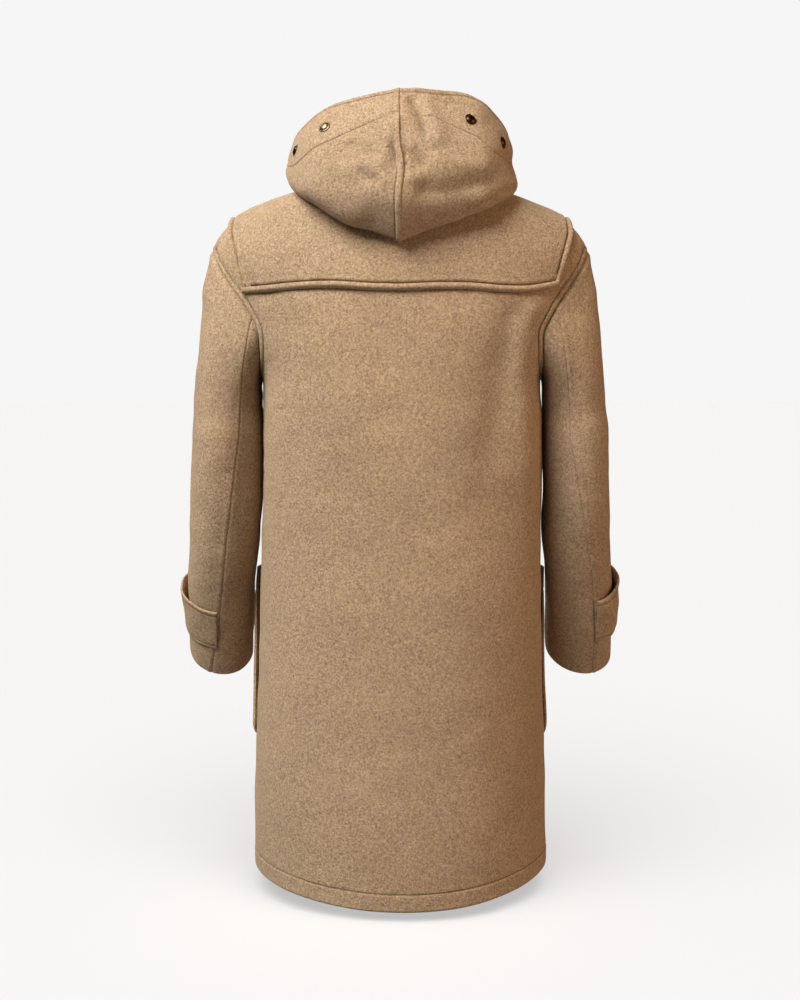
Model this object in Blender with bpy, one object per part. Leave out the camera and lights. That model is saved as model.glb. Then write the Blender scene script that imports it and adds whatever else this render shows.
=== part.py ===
"""Duffle coat in heavy wool, filled out as if worn, with its hood laid back.

Run with: blender --background --python part.py

Units are metres and +Z is up. The wearer faces -Y and the wearer's left is +X. The origin is the
middle of the neck, level with the neck ends of the shoulder seams, where a wearer holds the coat up.

Every cloth piece is a patch of one of three surfaces: the body, a sleeve or the hood. A patch becomes
a closed wall, and what lies on a panel is made from the panel's own surface, moved out.
"""

import math

import bmesh
import bpy
import numpy as np

# ---------------------------------------------------------------- driving dimensions

CM = 0.01
MM = 0.001

WALL = 3.0 * MM                # heavy melton
SEAM_GAP = 0.3 * MM            # between two pieces at a seam
SLEEVE_START_GAP = 0.8 * MM    # the same at the armhole, where two curved edges meet
LAP_GAP = 1.4 * MM             # between the two fronts where they lap
NECK_SEAM_GAP = 0.4 * MM       # the same under the hood's stand
LAY_GAP = 2.6 * MM             # between a wide piece and the rounder panel that it lies on
SMALL_LAY_GAP = 0.4 * MM       # the same for a small piece
TURNED_EDGE = 2.0 * MM         # extra thickness where the yoke's edge is turned under
EDGE_BAND = 9.0 * MM           # width of that raised edge

FRONT_LAP = 7.0 * CM           # the left front covers the right one by this much
LAP_STEP = -6.5 * CM           # where the right front starts to sink under the left one
LAP_STEP_WIDTH = 2.2 * CM
ARMPIT_HEIGHT = -25.5 * CM
SHOULDER_END_HEIGHT = -9.9 * CM
YOKE_SHOULDER_HEIGHT = -6.6 * CM
YOKE_LEFT_CORNER_HEIGHT = -15.6 * CM
YOKE_RIGHT_CORNER_HEIGHT = -14.7 * CM
YOKE_BACK_HEIGHT = -15.1 * CM
YOKE_FRONT_LEFT_END = -2.9 * CM    # where its front edges end, from the centre front
YOKE_FRONT_RIGHT_END = 4.2 * CM

POCKET_TOP = -51.0 * CM
POCKET_BOTTOM = -73.8 * CM
POCKET_REACH = (-5.0, -57.0)   # degrees round the body from the side seam
POCKET_CORNER = 2.5 * CM
POCKET_HALF_WIDTH = 9.5 * CM
POCKET_EDGE_GAP = 1.4 * MM
POCKET_BELLY = 2.2 * MM        # how much further its middle stands off

SLEEVE_RADIUS = 5.5 * CM       # rough, for the gap at a sleeve's seams
STRAP_STAND = 7.0 * MM         # how far a cuff strap's top edge stands away at the outside
STRAP_POINT = -62.0            # degrees from the outside of the cuff to the strap's point
STRAP_BUTTON_BACK = 0.30       # how far behind that point its button sits, in radians

TOGGLE_HEIGHTS = (-22.0 * CM, -34.5 * CM, -47.0 * CM, -59.5 * CM)
TOGGLE_LENGTH = 5.4 * CM
TOGGLE_RADIUS = 6.5 * MM
CORD_RADIUS = 2.0 * MM
CORD_SPREAD = 9.0 * MM         # half the distance between a loop's two strands
CORD_END = 4.5 * MM            # how far from the centre front a loop's bend ends
TAB_INNER = 5.6 * CM           # where a toggle's cloth tab starts, from the centre front
TAB_OUTER = 9.2 * CM
TAB_HALF_HEIGHT = 2.1 * CM
TAB_THICKNESS = 2.5 * MM

SNAP_RADIUS = 7.2 * MM
SNAP_HEIGHT = 3.4 * MM
BUTTON_RADIUS = 10.0 * MM
BUTTON_HEIGHT = 3.5 * MM

# The body's level sections, from the hem up to the neck. Heights are at the side; the two drops lower
# the section's middle at the back and at the front. All in centimetres, but for the roundness, which
# is 2 on an ellipse and more on a squarer section.
BODY_COLUMNS = (
    "height", "back_drop", "front_drop", "half_width", "right_wider",
    "back_depth", "front_depth", "roundness",
)
BODY_SECTIONS = (
    (-90.0, 1.7, 0.8, 19.20, 0.0, 16.4, 15.6, 2.02),
    (-74.0, 0.9, 0.4, 18.90, 0.0, 15.9, 15.3, 2.12),
    (-55.0, 0.3, 0.2, 18.10, 0.15, 15.2, 14.9, 2.32),
    (-40.0, 0.0, 0.1, 17.55, 0.60, 14.6, 14.7, 2.55),
    (-31.0, 0.0, 0.2, 17.40, 0.75, 14.3, 14.5, 2.75),
    (-25.5, 0.0, 0.6, 17.65, 0.45, 14.1, 14.2, 2.75),
    (-20.0, 0.0, 1.8, 20.80, 0.20, 13.8, 13.6, 2.35),
    (-15.0, 0.0, 3.2, 23.00, 0.0, 13.1, 12.9, 2.20),
    (-9.9, 0.0, 4.9, 23.80, 0.0, 11.9, 12.0, 2.15),
    (-7.7, 0.0, 5.8, 22.60, 0.0, 11.0, 11.4, 2.15),
    (-5.75, 0.0, 6.6, 20.20, 0.0, 10.1, 10.8, 2.15),
    (-4.15, 0.0, 7.2, 16.50, 0.0, 9.2, 10.2, 2.15),
    (-2.65, 0.1, 7.6, 12.30, 0.0, 8.2, 9.4, 2.12),
    (-0.8, 0.3, 7.6, 8.20, 0.0, 7.0, 8.6, 2.10),
)

# Where the armhole seam runs: its distance from the centre of the back and front at each height.
ARMHOLE_COLUMNS = ("height", "back_reach", "front_reach")
ARMHOLE = (
    (-25.5, 17.65, 17.65),
    (-24.0, 17.40, 17.10),
    (-22.0, 17.35, 16.80),
    (-20.0, 17.60, 16.80),
    (-18.3, 18.50, 17.50),
    (-16.6, 19.60, 18.70),
    (-14.4, 21.30, 20.60),
    (-12.2, 22.75, 22.40),
    (-9.9, 23.80, 23.80),
)

# The yoke's side edge, from its lower corner (share 0) up to the shoulder (share 1).
YOKE_EDGE_COLUMNS = ("share", "back_reach", "front_reach")
YOKE_EDGE = (
    (0.0, 19.30, 18.20),
    (0.45, 20.55, 19.90),
    (0.75, 21.35, 21.10),
    (1.0, 21.45, 21.45),
)

# Soft drape folds of the body: a ridge (or a trough, where the depth is negative) that runs down.
FOLD_COLUMNS = ("degrees", "top", "bottom", "half_width", "depth")
FOLDS = (
    (140.0, -20.0, -44.0, 2.6, 0.35),
    (126.0, -19.0, -52.0, 3.0, -0.35),
    (44.0, -22.0, -40.0, 2.4, 0.18),
    (60.0, -40.0, -88.0, 5.0, -0.20),
    (112.0, -55.0, -90.0, 5.0, 0.22),
    (-48.0, -24.0, -46.0, 2.6, 0.30),
    (228.0, -24.0, -48.0, 2.6, 0.30),
    (-66.0, -62.0, -90.0, 4.0, 0.25),
    (246.0, -60.0, -90.0, 4.0, -0.22),
)

# The left sleeve's sections, from just below the armpit to the hem. The lean tips a section so that
# its back hangs lower. The last two columns make the right sleeve slimmer on its inside and let its
# outside hang lower.
SLEEVE_COLUMNS = (
    "height", "across", "forward", "half_width", "half_depth", "lean", "roundness", "outer_lift",
    "right_slimmer", "right_lower",
)
SLEEVE_SECTIONS = (
    (-30.0, 22.40, -0.2, 4.25, 7.2, 2.0, 2.20, 0.0, 0.35, 0.0),
    (-38.0, 22.70, 0.1, 4.35, 6.9, 8.0, 2.20, 0.0, 0.35, 0.0),
    (-46.0, 23.10, 1.4, 4.40, 6.4, 15.0, 2.20, 0.0, 0.20, 0.0),
    (-54.5, 23.70, 4.0, 4.40, 5.8, 22.0, 2.15, 0.2, 0.0, 0.2),
    (-63.0, 24.20, 7.3, 4.30, 5.3, 30.0, 2.05, 0.6, -0.1, 1.1),
)
# How far round from the outside the sleeve's back and front seams lie, in degrees, down the sleeve.
SLEEVE_SEAM_COLUMNS = ("reach", "left_back", "right_back", "front")
SLEEVE_SEAMS = (
    (0.0, 95.0, 85.0, -88.0),
    (0.4, 114.0, 100.0, -104.0),
    (0.8, 123.0, 112.0, -110.0),
    (1.3, 122.0, 112.0, -110.0),
    (2.0, 114.0, 99.0, -108.0),
    (3.0, 102.0, 80.0, -106.0),
    (4.0, 94.0, 69.0, -104.0),
    (5.0, 79.0, 70.0, -100.0),
)

# The band round each cuff: how far down the sleeve its edges lie at the back seam and at the outside.
STRAP_COLUMNS = ("side", "top_at_seam", "top_outside", "bottom")
STRAPS = (
    (1, 3.98, 3.90, 4.58),
    (-1, 3.82, 3.76, 4.46),
)

# The hood's left half, in rows from the centre front round to the centre back. Each row is a line over
# the outside of the cloth: from the neck seam, up the stand, out over the yoke to the fold, round the
# bulge, past the middle to the face edge. "around" is the row's place on the neck seam in degrees.
HOOD_COLUMNS = ("around", "under", "fold", "bulge", "middle", "upper", "edge")
HOOD_ROWS = (
    (-80.0, (2.6, -9.9, -6.4), (3.5, -11.0, -7.0), (4.1, -11.7, -6.5),
     (4.3, -11.8, -6.0), (4.3, -11.7, -5.5), (4.1, -11.5, -5.0)),
    (-45.0, (7.8, -7.6, -3.0), (9.4, -8.2, -3.9), (10.5, -8.4, -2.9),
     (10.8, -8.3, -1.9), (10.8, -8.1, -1.0), (10.6, -7.8, -0.2)),
    (0.0, (10.6, -0.2, 0.3), (12.6, 0.6, -1.5), (13.8, 0.8, -0.5),
     (13.9, 0.7, 0.7), (13.8, 0.5, 1.6), (13.5, 0.3, 2.5)),
    (25.0, (10.6, 4.4, -0.8), (12.6, 5.9, -3.0), (13.6, 6.3, -1.9),
     (13.5, 5.8, 0.8), (13.0, 5.2, 2.9), (12.1, 4.4, 4.9)),
    (55.0, (7.0, 8.4, -1.1), (8.6, 11.8, -6.15), (9.9, 13.0, -3.6),
     (10.0, 12.3, 0.9), (9.3, 10.7, 4.2), (8.1, 8.7, 7.1)),
    (90.0, (0.0, 10.2, -1.6), (0.0, 13.9, -9.4), (0.0, 16.3, -5.6),
     (0.0, 15.3, 0.6), (0.0, 13.6, 5.2), (0.0, 10.9, 9.1)),
)
# The right half stands fuller: how far its fold, its bulge and its face edge lie further out and up.
HOOD_FULLER_COLUMNS = ("around", "fold_out", "bulge_out", "edge_out", "edge_up")
HOOD_FULLER = (
    (-80.0, 0.0, 0.0, 0.0, 0.0),
    (-45.0, 0.2, 0.0, 0.0, 0.0),
    (0.0, 0.9, 0.0, 0.1, 0.0),
    (25.0, 0.9, 0.0, 0.8, 0.2),
    (55.0, 0.2, 0.3, 0.7, 0.9),
    (90.0, 0.0, 0.0, 0.0, 0.0),
)
HOOD_STAND = 1.2 * CM          # height of the hood's stand above the neck seam
WELT_RISE = 2.0 * MM           # of the centre seam's raised welt

# The snap caps sit near the hood's face edge: side, place round the hood and up to the edge.
SNAP_COLUMNS = ("name", "side", "around", "up")
SNAPS = (
    ("snap_left_upper", 1, 0.810, 0.835),
    ("snap_left_side", 1, 0.635, 0.760),
    ("snap_right_upper", -1, 0.833, 0.855),
    ("snap_right_side", -1, 0.700, 0.775),
)

# name, colour in linear light, roughness, metallic
MATERIALS = {
    "wool": ((0.38, 0.24, 0.135, 1.0), 0.95, 0.0),
    "wool_trim": ((0.36, 0.225, 0.125, 1.0), 0.95, 0.0),
    "brass": ((0.20, 0.11, 0.045, 1.0), 0.40, 1.0),
    "horn": ((0.045, 0.024, 0.013, 1.0), 0.35, 0.0),
    "cord": ((0.42, 0.30, 0.18, 1.0), 0.90, 0.0),
}


# ---------------------------------------------------------------- small tools

def column_values(columns, rows, name):
    """One named column of a table, as an array."""
    place = columns.index(name)
    return np.array([row[place] for row in rows], dtype=float)


def smooth_curve(knots, values, at):
    """A smooth curve through values at knots, read at any places; the knots rise."""
    knots = np.asarray(knots, dtype=float)
    values = np.asarray(values, dtype=float)
    at = np.clip(np.asarray(at, dtype=float), knots[0], knots[-1])
    slopes = np.gradient(values, knots, axis=0)
    low = np.clip(np.searchsorted(knots, at, side="right") - 1, 0, len(knots) - 2)
    step = knots[low + 1] - knots[low]
    part = (at - knots[low]) / step
    if values.ndim > 1:
        part = part[..., None]
        step = step[..., None]
    start = 1 - 3 * part ** 2 + 2 * part ** 3
    return (
        start * values[low]
        + (1 - start) * values[low + 1]
        + (part - 2 * part ** 2 + part ** 3) * step * slopes[low]
        + (part ** 3 - part ** 2) * step * slopes[low + 1]
    )


def ease(part):
    """0 to 1 with soft ends."""
    part = np.clip(part, 0.0, 1.0)
    return part * part * (3 - 2 * part)


def unit(vectors):
    length = np.linalg.norm(vectors, axis=-1, keepdims=True)
    return vectors / np.maximum(length, 1e-12)


def stacked(x, y, z):
    return np.stack(np.broadcast_arrays(x, y, z), axis=-1)


def to_side(points, side):
    """Mirrors the left side's points to the right where side is -1."""
    return points * np.array((side, 1.0, 1.0))


def make_material(name):
    colour, roughness, metallic = MATERIALS[name]
    material = bpy.data.materials.get(name) or bpy.data.materials.new(name)
    material.use_nodes = True
    shader = material.node_tree.nodes["Principled BSDF"]
    shader.inputs["Base Color"].default_value = colour
    shader.inputs["Roughness"].default_value = roughness
    shader.inputs["Metallic"].default_value = metallic
    material.diffuse_color = colour
    return material


def add_object(name, points, faces, material):
    """A mesh object from points and faces, with its faces turned outwards."""
    mesh = bpy.data.meshes.new(name)
    mesh.from_pydata([tuple(point) for point in points], [], faces)
    work = bmesh.new()
    work.from_mesh(mesh)
    bmesh.ops.recalc_face_normals(work, faces=work.faces)
    work.to_mesh(mesh)
    work.free()
    mesh.shade_smooth()
    mesh.set_sharp_from_angle(angle=math.radians(40))
    thing = bpy.data.objects.new(name, mesh)
    thing.data.materials.append(make_material(material))
    bpy.context.scene.collection.objects.link(thing)
    return thing


def wall(name, outer, inner, material):
    """A closed wall between two grids of points, shaped (rows, columns, 3), in triangles."""
    rows, columns = outer.shape[:2]
    points = np.concatenate([outer.reshape(-1, 3), inner.reshape(-1, 3)])
    under = rows * columns
    faces = []
    for row in range(rows - 1):
        for column in range(columns - 1):
            a = row * columns + column
            b = a + 1
            c = b + columns
            d = a + columns
            faces += [(a, b, c), (a, c, d)]
            faces += [(under + c, under + b, under + a), (under + d, under + c, under + a)]
    rim = [column for column in range(columns)]
    rim += [row * columns + columns - 1 for row in range(1, rows)]
    rim += [(rows - 1) * columns + column for column in range(columns - 2, -1, -1)]
    rim += [row * columns for row in range(rows - 2, 0, -1)]
    for here, there in zip(rim, rim[1:] + rim[:1]):
        if here < there:
            faces += [(there, here, under + there), (here, under + here, under + there)]
        else:
            faces += [(there, here, under + here), (there, under + here, under + there)]
    return add_object(name, points, faces, material)


def turned(name, profile, centre, axis, sides, material):
    """A solid turned about an axis; the profile's (radius, height) pairs start and end at radius 0."""
    axis = unit(np.asarray(axis, dtype=float))
    across = unit(np.cross(axis, (0.0, 0.0, 1.0) if abs(axis[2]) < 0.9 else (1.0, 0.0, 0.0)))
    up = np.cross(axis, across)
    points = [centre + axis * profile[0][1]]
    for radius, height in profile[1:-1]:
        for side in range(sides):
            turn = 2 * math.pi * side / sides
            points.append(centre + axis * height + radius * (across * math.cos(turn) + up * math.sin(turn)))
    points.append(centre + axis * profile[-1][1])
    last = len(points) - 1
    rings = len(profile) - 2
    faces = []
    for side in range(sides):
        after = (side + 1) % sides
        faces.append((0, 1 + after, 1 + side))
        faces.append((last, last - sides + side, last - sides + after))
        for ring in range(rings - 1):
            low = 1 + ring * sides
            faces.append((low + side, low + after, low + sides + after, low + sides + side))
    return add_object(name, points, faces, material)


def tube(name, path, radius, sides, material):
    """A closed tube with flat ends along a path."""
    path = np.asarray(path)
    along = unit(np.gradient(path, axis=0))
    across = unit(np.cross(along, np.array((0.0, -1.0, 0.0))))
    up = np.cross(across, along)
    points = []
    for spot in range(len(path)):
        for side in range(sides):
            turn = 2 * math.pi * side / sides
            points.append(path[spot] + radius * (across[spot] * math.cos(turn) + up[spot] * math.sin(turn)))
    faces = [tuple(range(sides)), tuple(range(len(points) - 1, len(points) - 1 - sides, -1))]
    for spot in range(len(path) - 1):
        for side in range(sides):
            after = (side + 1) % sides
            low = spot * sides
            faces.append((low + side, low + after, low + sides + after, low + sides + side))
    return add_object(name, points, faces, material)


# ---------------------------------------------------------------- the body's surface

def body_knots():
    """How far up the cloth from the hem each section lies, in metres."""
    height = column_values(BODY_COLUMNS, BODY_SECTIONS, "height")
    half_width = column_values(BODY_COLUMNS, BODY_SECTIONS, "half_width")
    step = np.hypot(np.diff(height), np.diff(half_width))
    return np.concatenate([[0.0], np.cumsum(step)]) * CM


BODY_KNOTS = body_knots()
BODY_VALUES = np.array(BODY_SECTIONS) * np.array([CM] * 7 + [1.0])
NECK = BODY_KNOTS[-1]


def rise_at_height(height):
    """How far up the cloth a height lies, measured at the side seam."""
    many = np.linspace(0.0, NECK, 800)
    heights = smooth_curve(BODY_KNOTS, BODY_VALUES, many)[:, 0]
    return np.interp(height, heights, many)


def fold_relief(angle, height):
    """How far the drape folds move the cloth out."""
    relief = np.zeros(np.broadcast(angle, height).shape)
    for degrees, top, bottom, half_width, depth in FOLDS:
        turn = math.radians(degrees)
        across = (angle - turn) * 15.0 / half_width
        down = ease((top * CM - height) / (6 * CM)) * ease((height - bottom * CM) / (10 * CM))
        if bottom <= -88.0:
            down = ease((top * CM - height) / (10 * CM))
        relief = relief + depth * CM * np.exp(-across ** 2) * down
    return relief


def body_flat(angle, rise):
    """A point of the body's surface, for an angle round from the wearer's left side to the back."""
    angle, rise = np.broadcast_arrays(np.asarray(angle, dtype=float), np.asarray(rise, dtype=float))
    row = smooth_curve(BODY_KNOTS, BODY_VALUES, rise)
    height, back_drop, front_drop, half_width, wider = np.moveaxis(row[..., :5], -1, 0)
    back_depth, front_depth, roundness = np.moveaxis(row[..., 5:], -1, 0)
    cosine = np.cos(angle)
    sine = np.sin(angle)
    size = (np.abs(cosine) ** roundness + np.abs(sine) ** roundness) ** (-1 / roundness)
    behind = sine >= 0
    depth = np.where(behind, back_depth, front_depth)
    drop = np.where(behind, back_drop, front_drop)
    swell = fold_relief(angle, height)
    half_width = half_width + wider * ease(-1.3 * cosine * size)
    x = (half_width + swell) * cosine * size
    y = (depth + swell) * sine * size
    z = height - drop * (sine * size) ** 2
    return stacked(x, y, z)


def surface_normals(surface, first, second, small_first, small_second):
    """Outward normals of a surface by small steps along its two directions."""
    along_first = surface(first + small_first, second) - surface(first - small_first, second)
    along_second = surface(first, second + small_second) - surface(first, second - small_second)
    return unit(np.cross(along_first, along_second))


def body_normal(angle, rise):
    rise = np.clip(rise, 1 * MM, NECK - 1 * MM)
    return surface_normals(body_flat, np.asarray(angle, dtype=float), rise, 0.004, 0.5 * MM)


def body(angle, rise, out=0.0):
    """A point of the body's surface moved out along its normal."""
    out = np.asarray(out, dtype=float)
    return body_flat(angle, rise) + body_normal(angle, rise) * out[..., None]


def angle_at(reach, rise, front=False):
    """The angle at which a section is this far to the wearer's left of the centre."""
    row = smooth_curve(BODY_KNOTS, BODY_VALUES, rise)
    share = np.clip(np.asarray(reach) / row[..., 3], -1.0, 1.0)
    rest = (1 - np.abs(share) ** row[..., 7]) ** (1 / row[..., 7])
    angle = np.arctan2(rest, share)
    return -angle if front else angle


def armhole_reach(rise, front):
    """How far from the centre the armhole seam runs at a rise."""
    heights = smooth_curve(BODY_KNOTS, BODY_VALUES, rise)[..., 0]
    name = "front_reach" if front else "back_reach"
    table_heights = column_values(ARMHOLE_COLUMNS, ARMHOLE, "height") * CM
    return smooth_curve(table_heights, column_values(ARMHOLE_COLUMNS, ARMHOLE, name) * CM, heights)


ARMPIT = rise_at_height(ARMPIT_HEIGHT)
SHOULDER_END = rise_at_height(SHOULDER_END_HEIGHT)


def armhole_angle(rise, front):
    """The armhole seam's angle at a rise; 0 below the armpit and above the shoulder's end."""
    rise = np.asarray(rise, dtype=float)
    inside = (rise > ARMPIT) & (rise < SHOULDER_END)
    kept = np.clip(rise, ARMPIT, SHOULDER_END)
    angle = angle_at(armhole_reach(kept, front), kept, front)
    return np.where(inside, angle, 0.0)


def side_edge(rise, front):
    """Where a panel starts at the side: the seam gap off the side seam, or off the armhole seam."""
    row = smooth_curve(BODY_KNOTS, BODY_VALUES, rise)
    gap = (SEAM_GAP / 2) / row[..., 5]
    return armhole_angle(rise, front) + (-gap if front else gap)


BODY_ROW_HEIGHTS = (
    -90.0, -80.0, -70.0, -60.0, -50.0, -41.0, -33.5, -28.6, -25.6, -25.1, -24.3, -22.9, -21.1,
    -19.2, -17.3, -15.1, -13.2, -11.4, -10.2, -9.6, -8.6, -7.1, -5.6, -4.1, -2.5, -0.8,
)
BODY_ROWS = rise_at_height(np.array(BODY_ROW_HEIGHTS) * CM)
BODY_ROWS[0] = 0.0
BODY_ROWS[-1] = NECK


# ---------------------------------------------------------------- back, fronts and yoke

def make_back():
    columns = 21
    start = side_edge(BODY_ROWS, False)
    share = np.linspace(0, 1, columns)
    angle = start[:, None] + (math.pi - 2 * start[:, None]) * share
    rise = np.repeat(BODY_ROWS[:, None], columns, axis=1)
    wall("back", body(angle, rise), body(angle, rise, -WALL), "wool")


def right_front_sink(angle, rise):
    """How far the right front lies in where the left front covers it."""
    across = body_flat(angle, rise)[..., 0]
    return (WALL + LAP_GAP) * ease((across - LAP_STEP) / LAP_STEP_WIDTH)


def make_fronts():
    columns = 13
    share = np.linspace(0, 1, columns)
    start = side_edge(BODY_ROWS, True)
    rise = np.repeat(BODY_ROWS[:, None], columns, axis=1)
    far = angle_at(-FRONT_LAP / 2, BODY_ROWS, True)
    angle = start[:, None] + (far - start)[:, None] * share
    wall("front_left", body(angle, rise), body(angle, rise, -WALL), "wool")
    start = -math.pi - start
    far = angle_at(FRONT_LAP / 2, BODY_ROWS, True)
    angle = start[:, None] + (far - start)[:, None] * share
    sink = right_front_sink(angle, rise)
    wall("front_right", body(angle, rise, -sink), body(angle, rise, -sink - WALL), "wool")


def yoke_side(corner_height):
    """One side edge of the yoke from its corner to the shoulder: rises, back angles, front angles."""
    steps = np.sin(np.linspace(0, math.pi / 2, 8))
    climb = rise_at_height(corner_height + (YOKE_SHOULDER_HEIGHT - corner_height) * steps)
    share, back_reach, front_reach = np.array(YOKE_EDGE).T
    back_edge = angle_at(smooth_curve(share, back_reach * CM, steps), climb)
    front_edge = angle_at(smooth_curve(share, front_reach * CM, steps), climb, True)
    back_edge[-1] = 0.0
    front_edge[-1] = 0.0
    return climb, back_edge, front_edge


def yoke_boundary():
    """The yoke's lower edge from the left front over the back to the right front: angles and rises."""
    left_climb, left_back, left_front = yoke_side(YOKE_LEFT_CORNER_HEIGHT)
    right_climb, right_back, right_front = yoke_side(YOKE_RIGHT_CORNER_HEIGHT)
    back_angle = np.linspace(left_back[0], math.pi - right_back[0], 15)[1:-1]
    back_rise = np.full(back_angle.shape, rise_at_height(YOKE_BACK_HEIGHT))
    left_end = angle_at(YOKE_FRONT_LEFT_END, left_climb[0], True)
    front_angle = np.linspace(left_end, left_front[0], 8)[:-1]
    right_end = math.pi - angle_at(YOKE_FRONT_RIGHT_END, right_climb[0], True)
    right_angle = np.linspace(math.pi - right_front[0], right_end, 8)[1:]
    angle = np.concatenate([
        front_angle, left_front, left_back[::-1][1:], back_angle,
        math.pi - right_back, (math.pi - right_front)[::-1][1:], right_angle,
    ])
    rise = np.concatenate([
        np.full(front_angle.shape, left_climb[0]), left_climb, left_climb[::-1][1:], back_rise,
        right_climb, right_climb[::-1][1:], np.full(right_angle.shape, right_climb[0]),
    ])
    return angle, rise


def make_yoke():
    """One piece over the shoulders, with a turned edge that stands up as a soft band."""
    angle, low = yoke_boundary()
    band = np.array((0.0, 0.35, 1.0, 1.35)) * EDGE_BAND
    rows = [low + height for height in band]
    rows += [rows[3] + (NECK - rows[3]) * share for share in np.linspace(0.1, 1.0, 8)]
    rise = np.array(rows)
    angles = np.repeat(angle[None, :], len(rise), axis=0)
    thick = np.full(len(rise), WALL)
    thick[:3] += TURNED_EDGE * np.array((0.2, 1.0, 1.0))
    outer = body(angles, rise, LAY_GAP + thick[:, None])
    inner = body(angles, rise, LAY_GAP)
    wall("yoke", outer, inner, "wool")


# ---------------------------------------------------------------- sleeves

SLEEVE_KNOTS = np.arange(1.0, 1.0 + len(SLEEVE_SECTIONS))
SLEEVE_VALUES = np.array(SLEEVE_SECTIONS)
SLEEVE_END = SLEEVE_KNOTS[-1]


def armhole_loop(side_front):
    """Half of the armhole seam from its top to the armpit: share of its length, angle and rise."""
    part = 0.5 - 0.5 * np.cos(np.linspace(0, math.pi, 80))
    rise = SHOULDER_END + (ARMPIT - SHOULDER_END) * part
    angle = angle_at(armhole_reach(rise, side_front), rise, side_front)
    points = body_flat(angle, rise)
    length = np.concatenate([[0.0], np.cumsum(np.linalg.norm(np.diff(points, axis=0), axis=1))])
    return length / length[-1], angle, rise


ARMHOLE_BACK = armhole_loop(False)
ARMHOLE_FRONT = armhole_loop(True)


def armhole_point(turn, side):
    """A point on the armhole seam and the body's normal there; turn runs from -pi to pi, 0 on top.

    The right armhole is read on the body's right and mirrored to the left.
    """
    share = np.abs(turn) / math.pi
    behind = turn >= 0
    angle = np.where(behind, np.interp(share, *ARMHOLE_BACK[:2]), np.interp(share, *ARMHOLE_FRONT[:2]))
    rise = np.where(
        behind,
        np.interp(share, ARMHOLE_BACK[0], ARMHOLE_BACK[2]),
        np.interp(share, ARMHOLE_FRONT[0], ARMHOLE_FRONT[2]),
    )
    if side < 0:
        angle = math.pi - angle
    return to_side(body_flat(angle, rise), side), to_side(body_normal(angle, rise), side)


def sleeve_ring(turn, reach, side):
    """A point on the sleeve below the armpit."""
    row = smooth_curve(SLEEVE_KNOTS, SLEEVE_VALUES, reach)
    height, across, forward, half_width, half_depth, lean, roundness = np.moveaxis(row[..., :7], -1, 0)
    lift, slimmer, lower = np.moveaxis(row[..., 7:], -1, 0)
    if side < 0:
        across = across + slimmer
        half_width = half_width - slimmer
        lift = lift - lower
    cosine = np.cos(turn)
    sine = np.sin(turn)
    size = (np.abs(cosine) ** roundness + np.abs(sine) ** roundness) ** (-1 / roundness)
    tip = np.radians(lean)
    behind = half_depth * sine * size
    x = across + half_width * cosine * size
    y = -forward + behind * np.cos(tip)
    z = height - behind * np.sin(tip) + lift * cosine * size
    return stacked(x, y, z) * CM


def sleeve_start(turn, side):
    """Where the sleeve leaves the armhole seam and in which direction."""
    seam, normal = armhole_point(turn, side)
    top = np.maximum(np.cos(turn), 0)[..., None] ** 2
    under = np.maximum(-np.cos(turn), 0)[..., None] ** 2
    side = (np.sin(turn) ** 2)[..., None]
    backwards = np.sign(np.sin(turn))
    sideways = stacked(0.80, 0.30 * backwards, -0.52)
    leave = unit(top * np.array((0.30, 0.0, -0.95)) + under * np.array((0.10, 0.0, -1.0)) + side * sideways)
    return seam + (leave + normal) * SLEEVE_START_GAP, leave


def sleeve_surface(side):
    """One sleeve's surface, still on the left: turn 0 is its outside, reach runs from 0 to the hem."""
    def point(turn, reach):
        turn, reach = np.broadcast_arrays(np.asarray(turn, dtype=float), np.asarray(reach, dtype=float))
        turn = (turn + math.pi) % (2 * math.pi) - math.pi
        start, leave = sleeve_start(turn, side)
        first = sleeve_ring(turn, np.ones(turn.shape), side)
        down = sleeve_ring(turn, np.full(turn.shape, 1.02), side) - first
        span = np.linalg.norm(first - start, axis=-1, keepdims=True)
        part = np.clip(reach, 0, 1)[..., None]
        flow = 1 - 3 * part ** 2 + 2 * part ** 3
        cap = (
            flow * start
            + (1 - flow) * first
            + (part - 2 * part ** 2 + part ** 3) * 0.8 * span * leave
            + (part ** 3 - part ** 2) * span * unit(down)
        )
        return np.where((reach < 1)[..., None], cap, sleeve_ring(turn, np.maximum(reach, 1), side))
    return point


def sleeve(side, turn, reach, out=0.0):
    """A point of a sleeve moved out along its normal, on the sleeve's own side."""
    turn, reach = np.broadcast_arrays(np.asarray(turn, dtype=float), np.asarray(reach, dtype=float))
    surface = sleeve_surface(side)
    inside = np.clip(reach, 0.02, SLEEVE_END - 0.02)
    normal = -surface_normals(surface, turn, inside, 0.01, 0.01)
    return to_side(surface(turn, reach) + normal * np.asarray(out, dtype=float)[..., None], side)


def sleeve_seam(name, reach):
    knots = column_values(SLEEVE_SEAM_COLUMNS, SLEEVE_SEAMS, "reach")
    degrees = column_values(SLEEVE_SEAM_COLUMNS, SLEEVE_SEAMS, name)
    return np.radians(smooth_curve(knots, degrees, reach))


SLEEVE_ROWS = np.array((0.0, 0.12, 0.27, 0.45, 0.65, 0.85, 1.0, 1.4, 1.8, 2.3, 2.8, 3.3, 3.8, 4.3, 4.7, 5.0))


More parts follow.
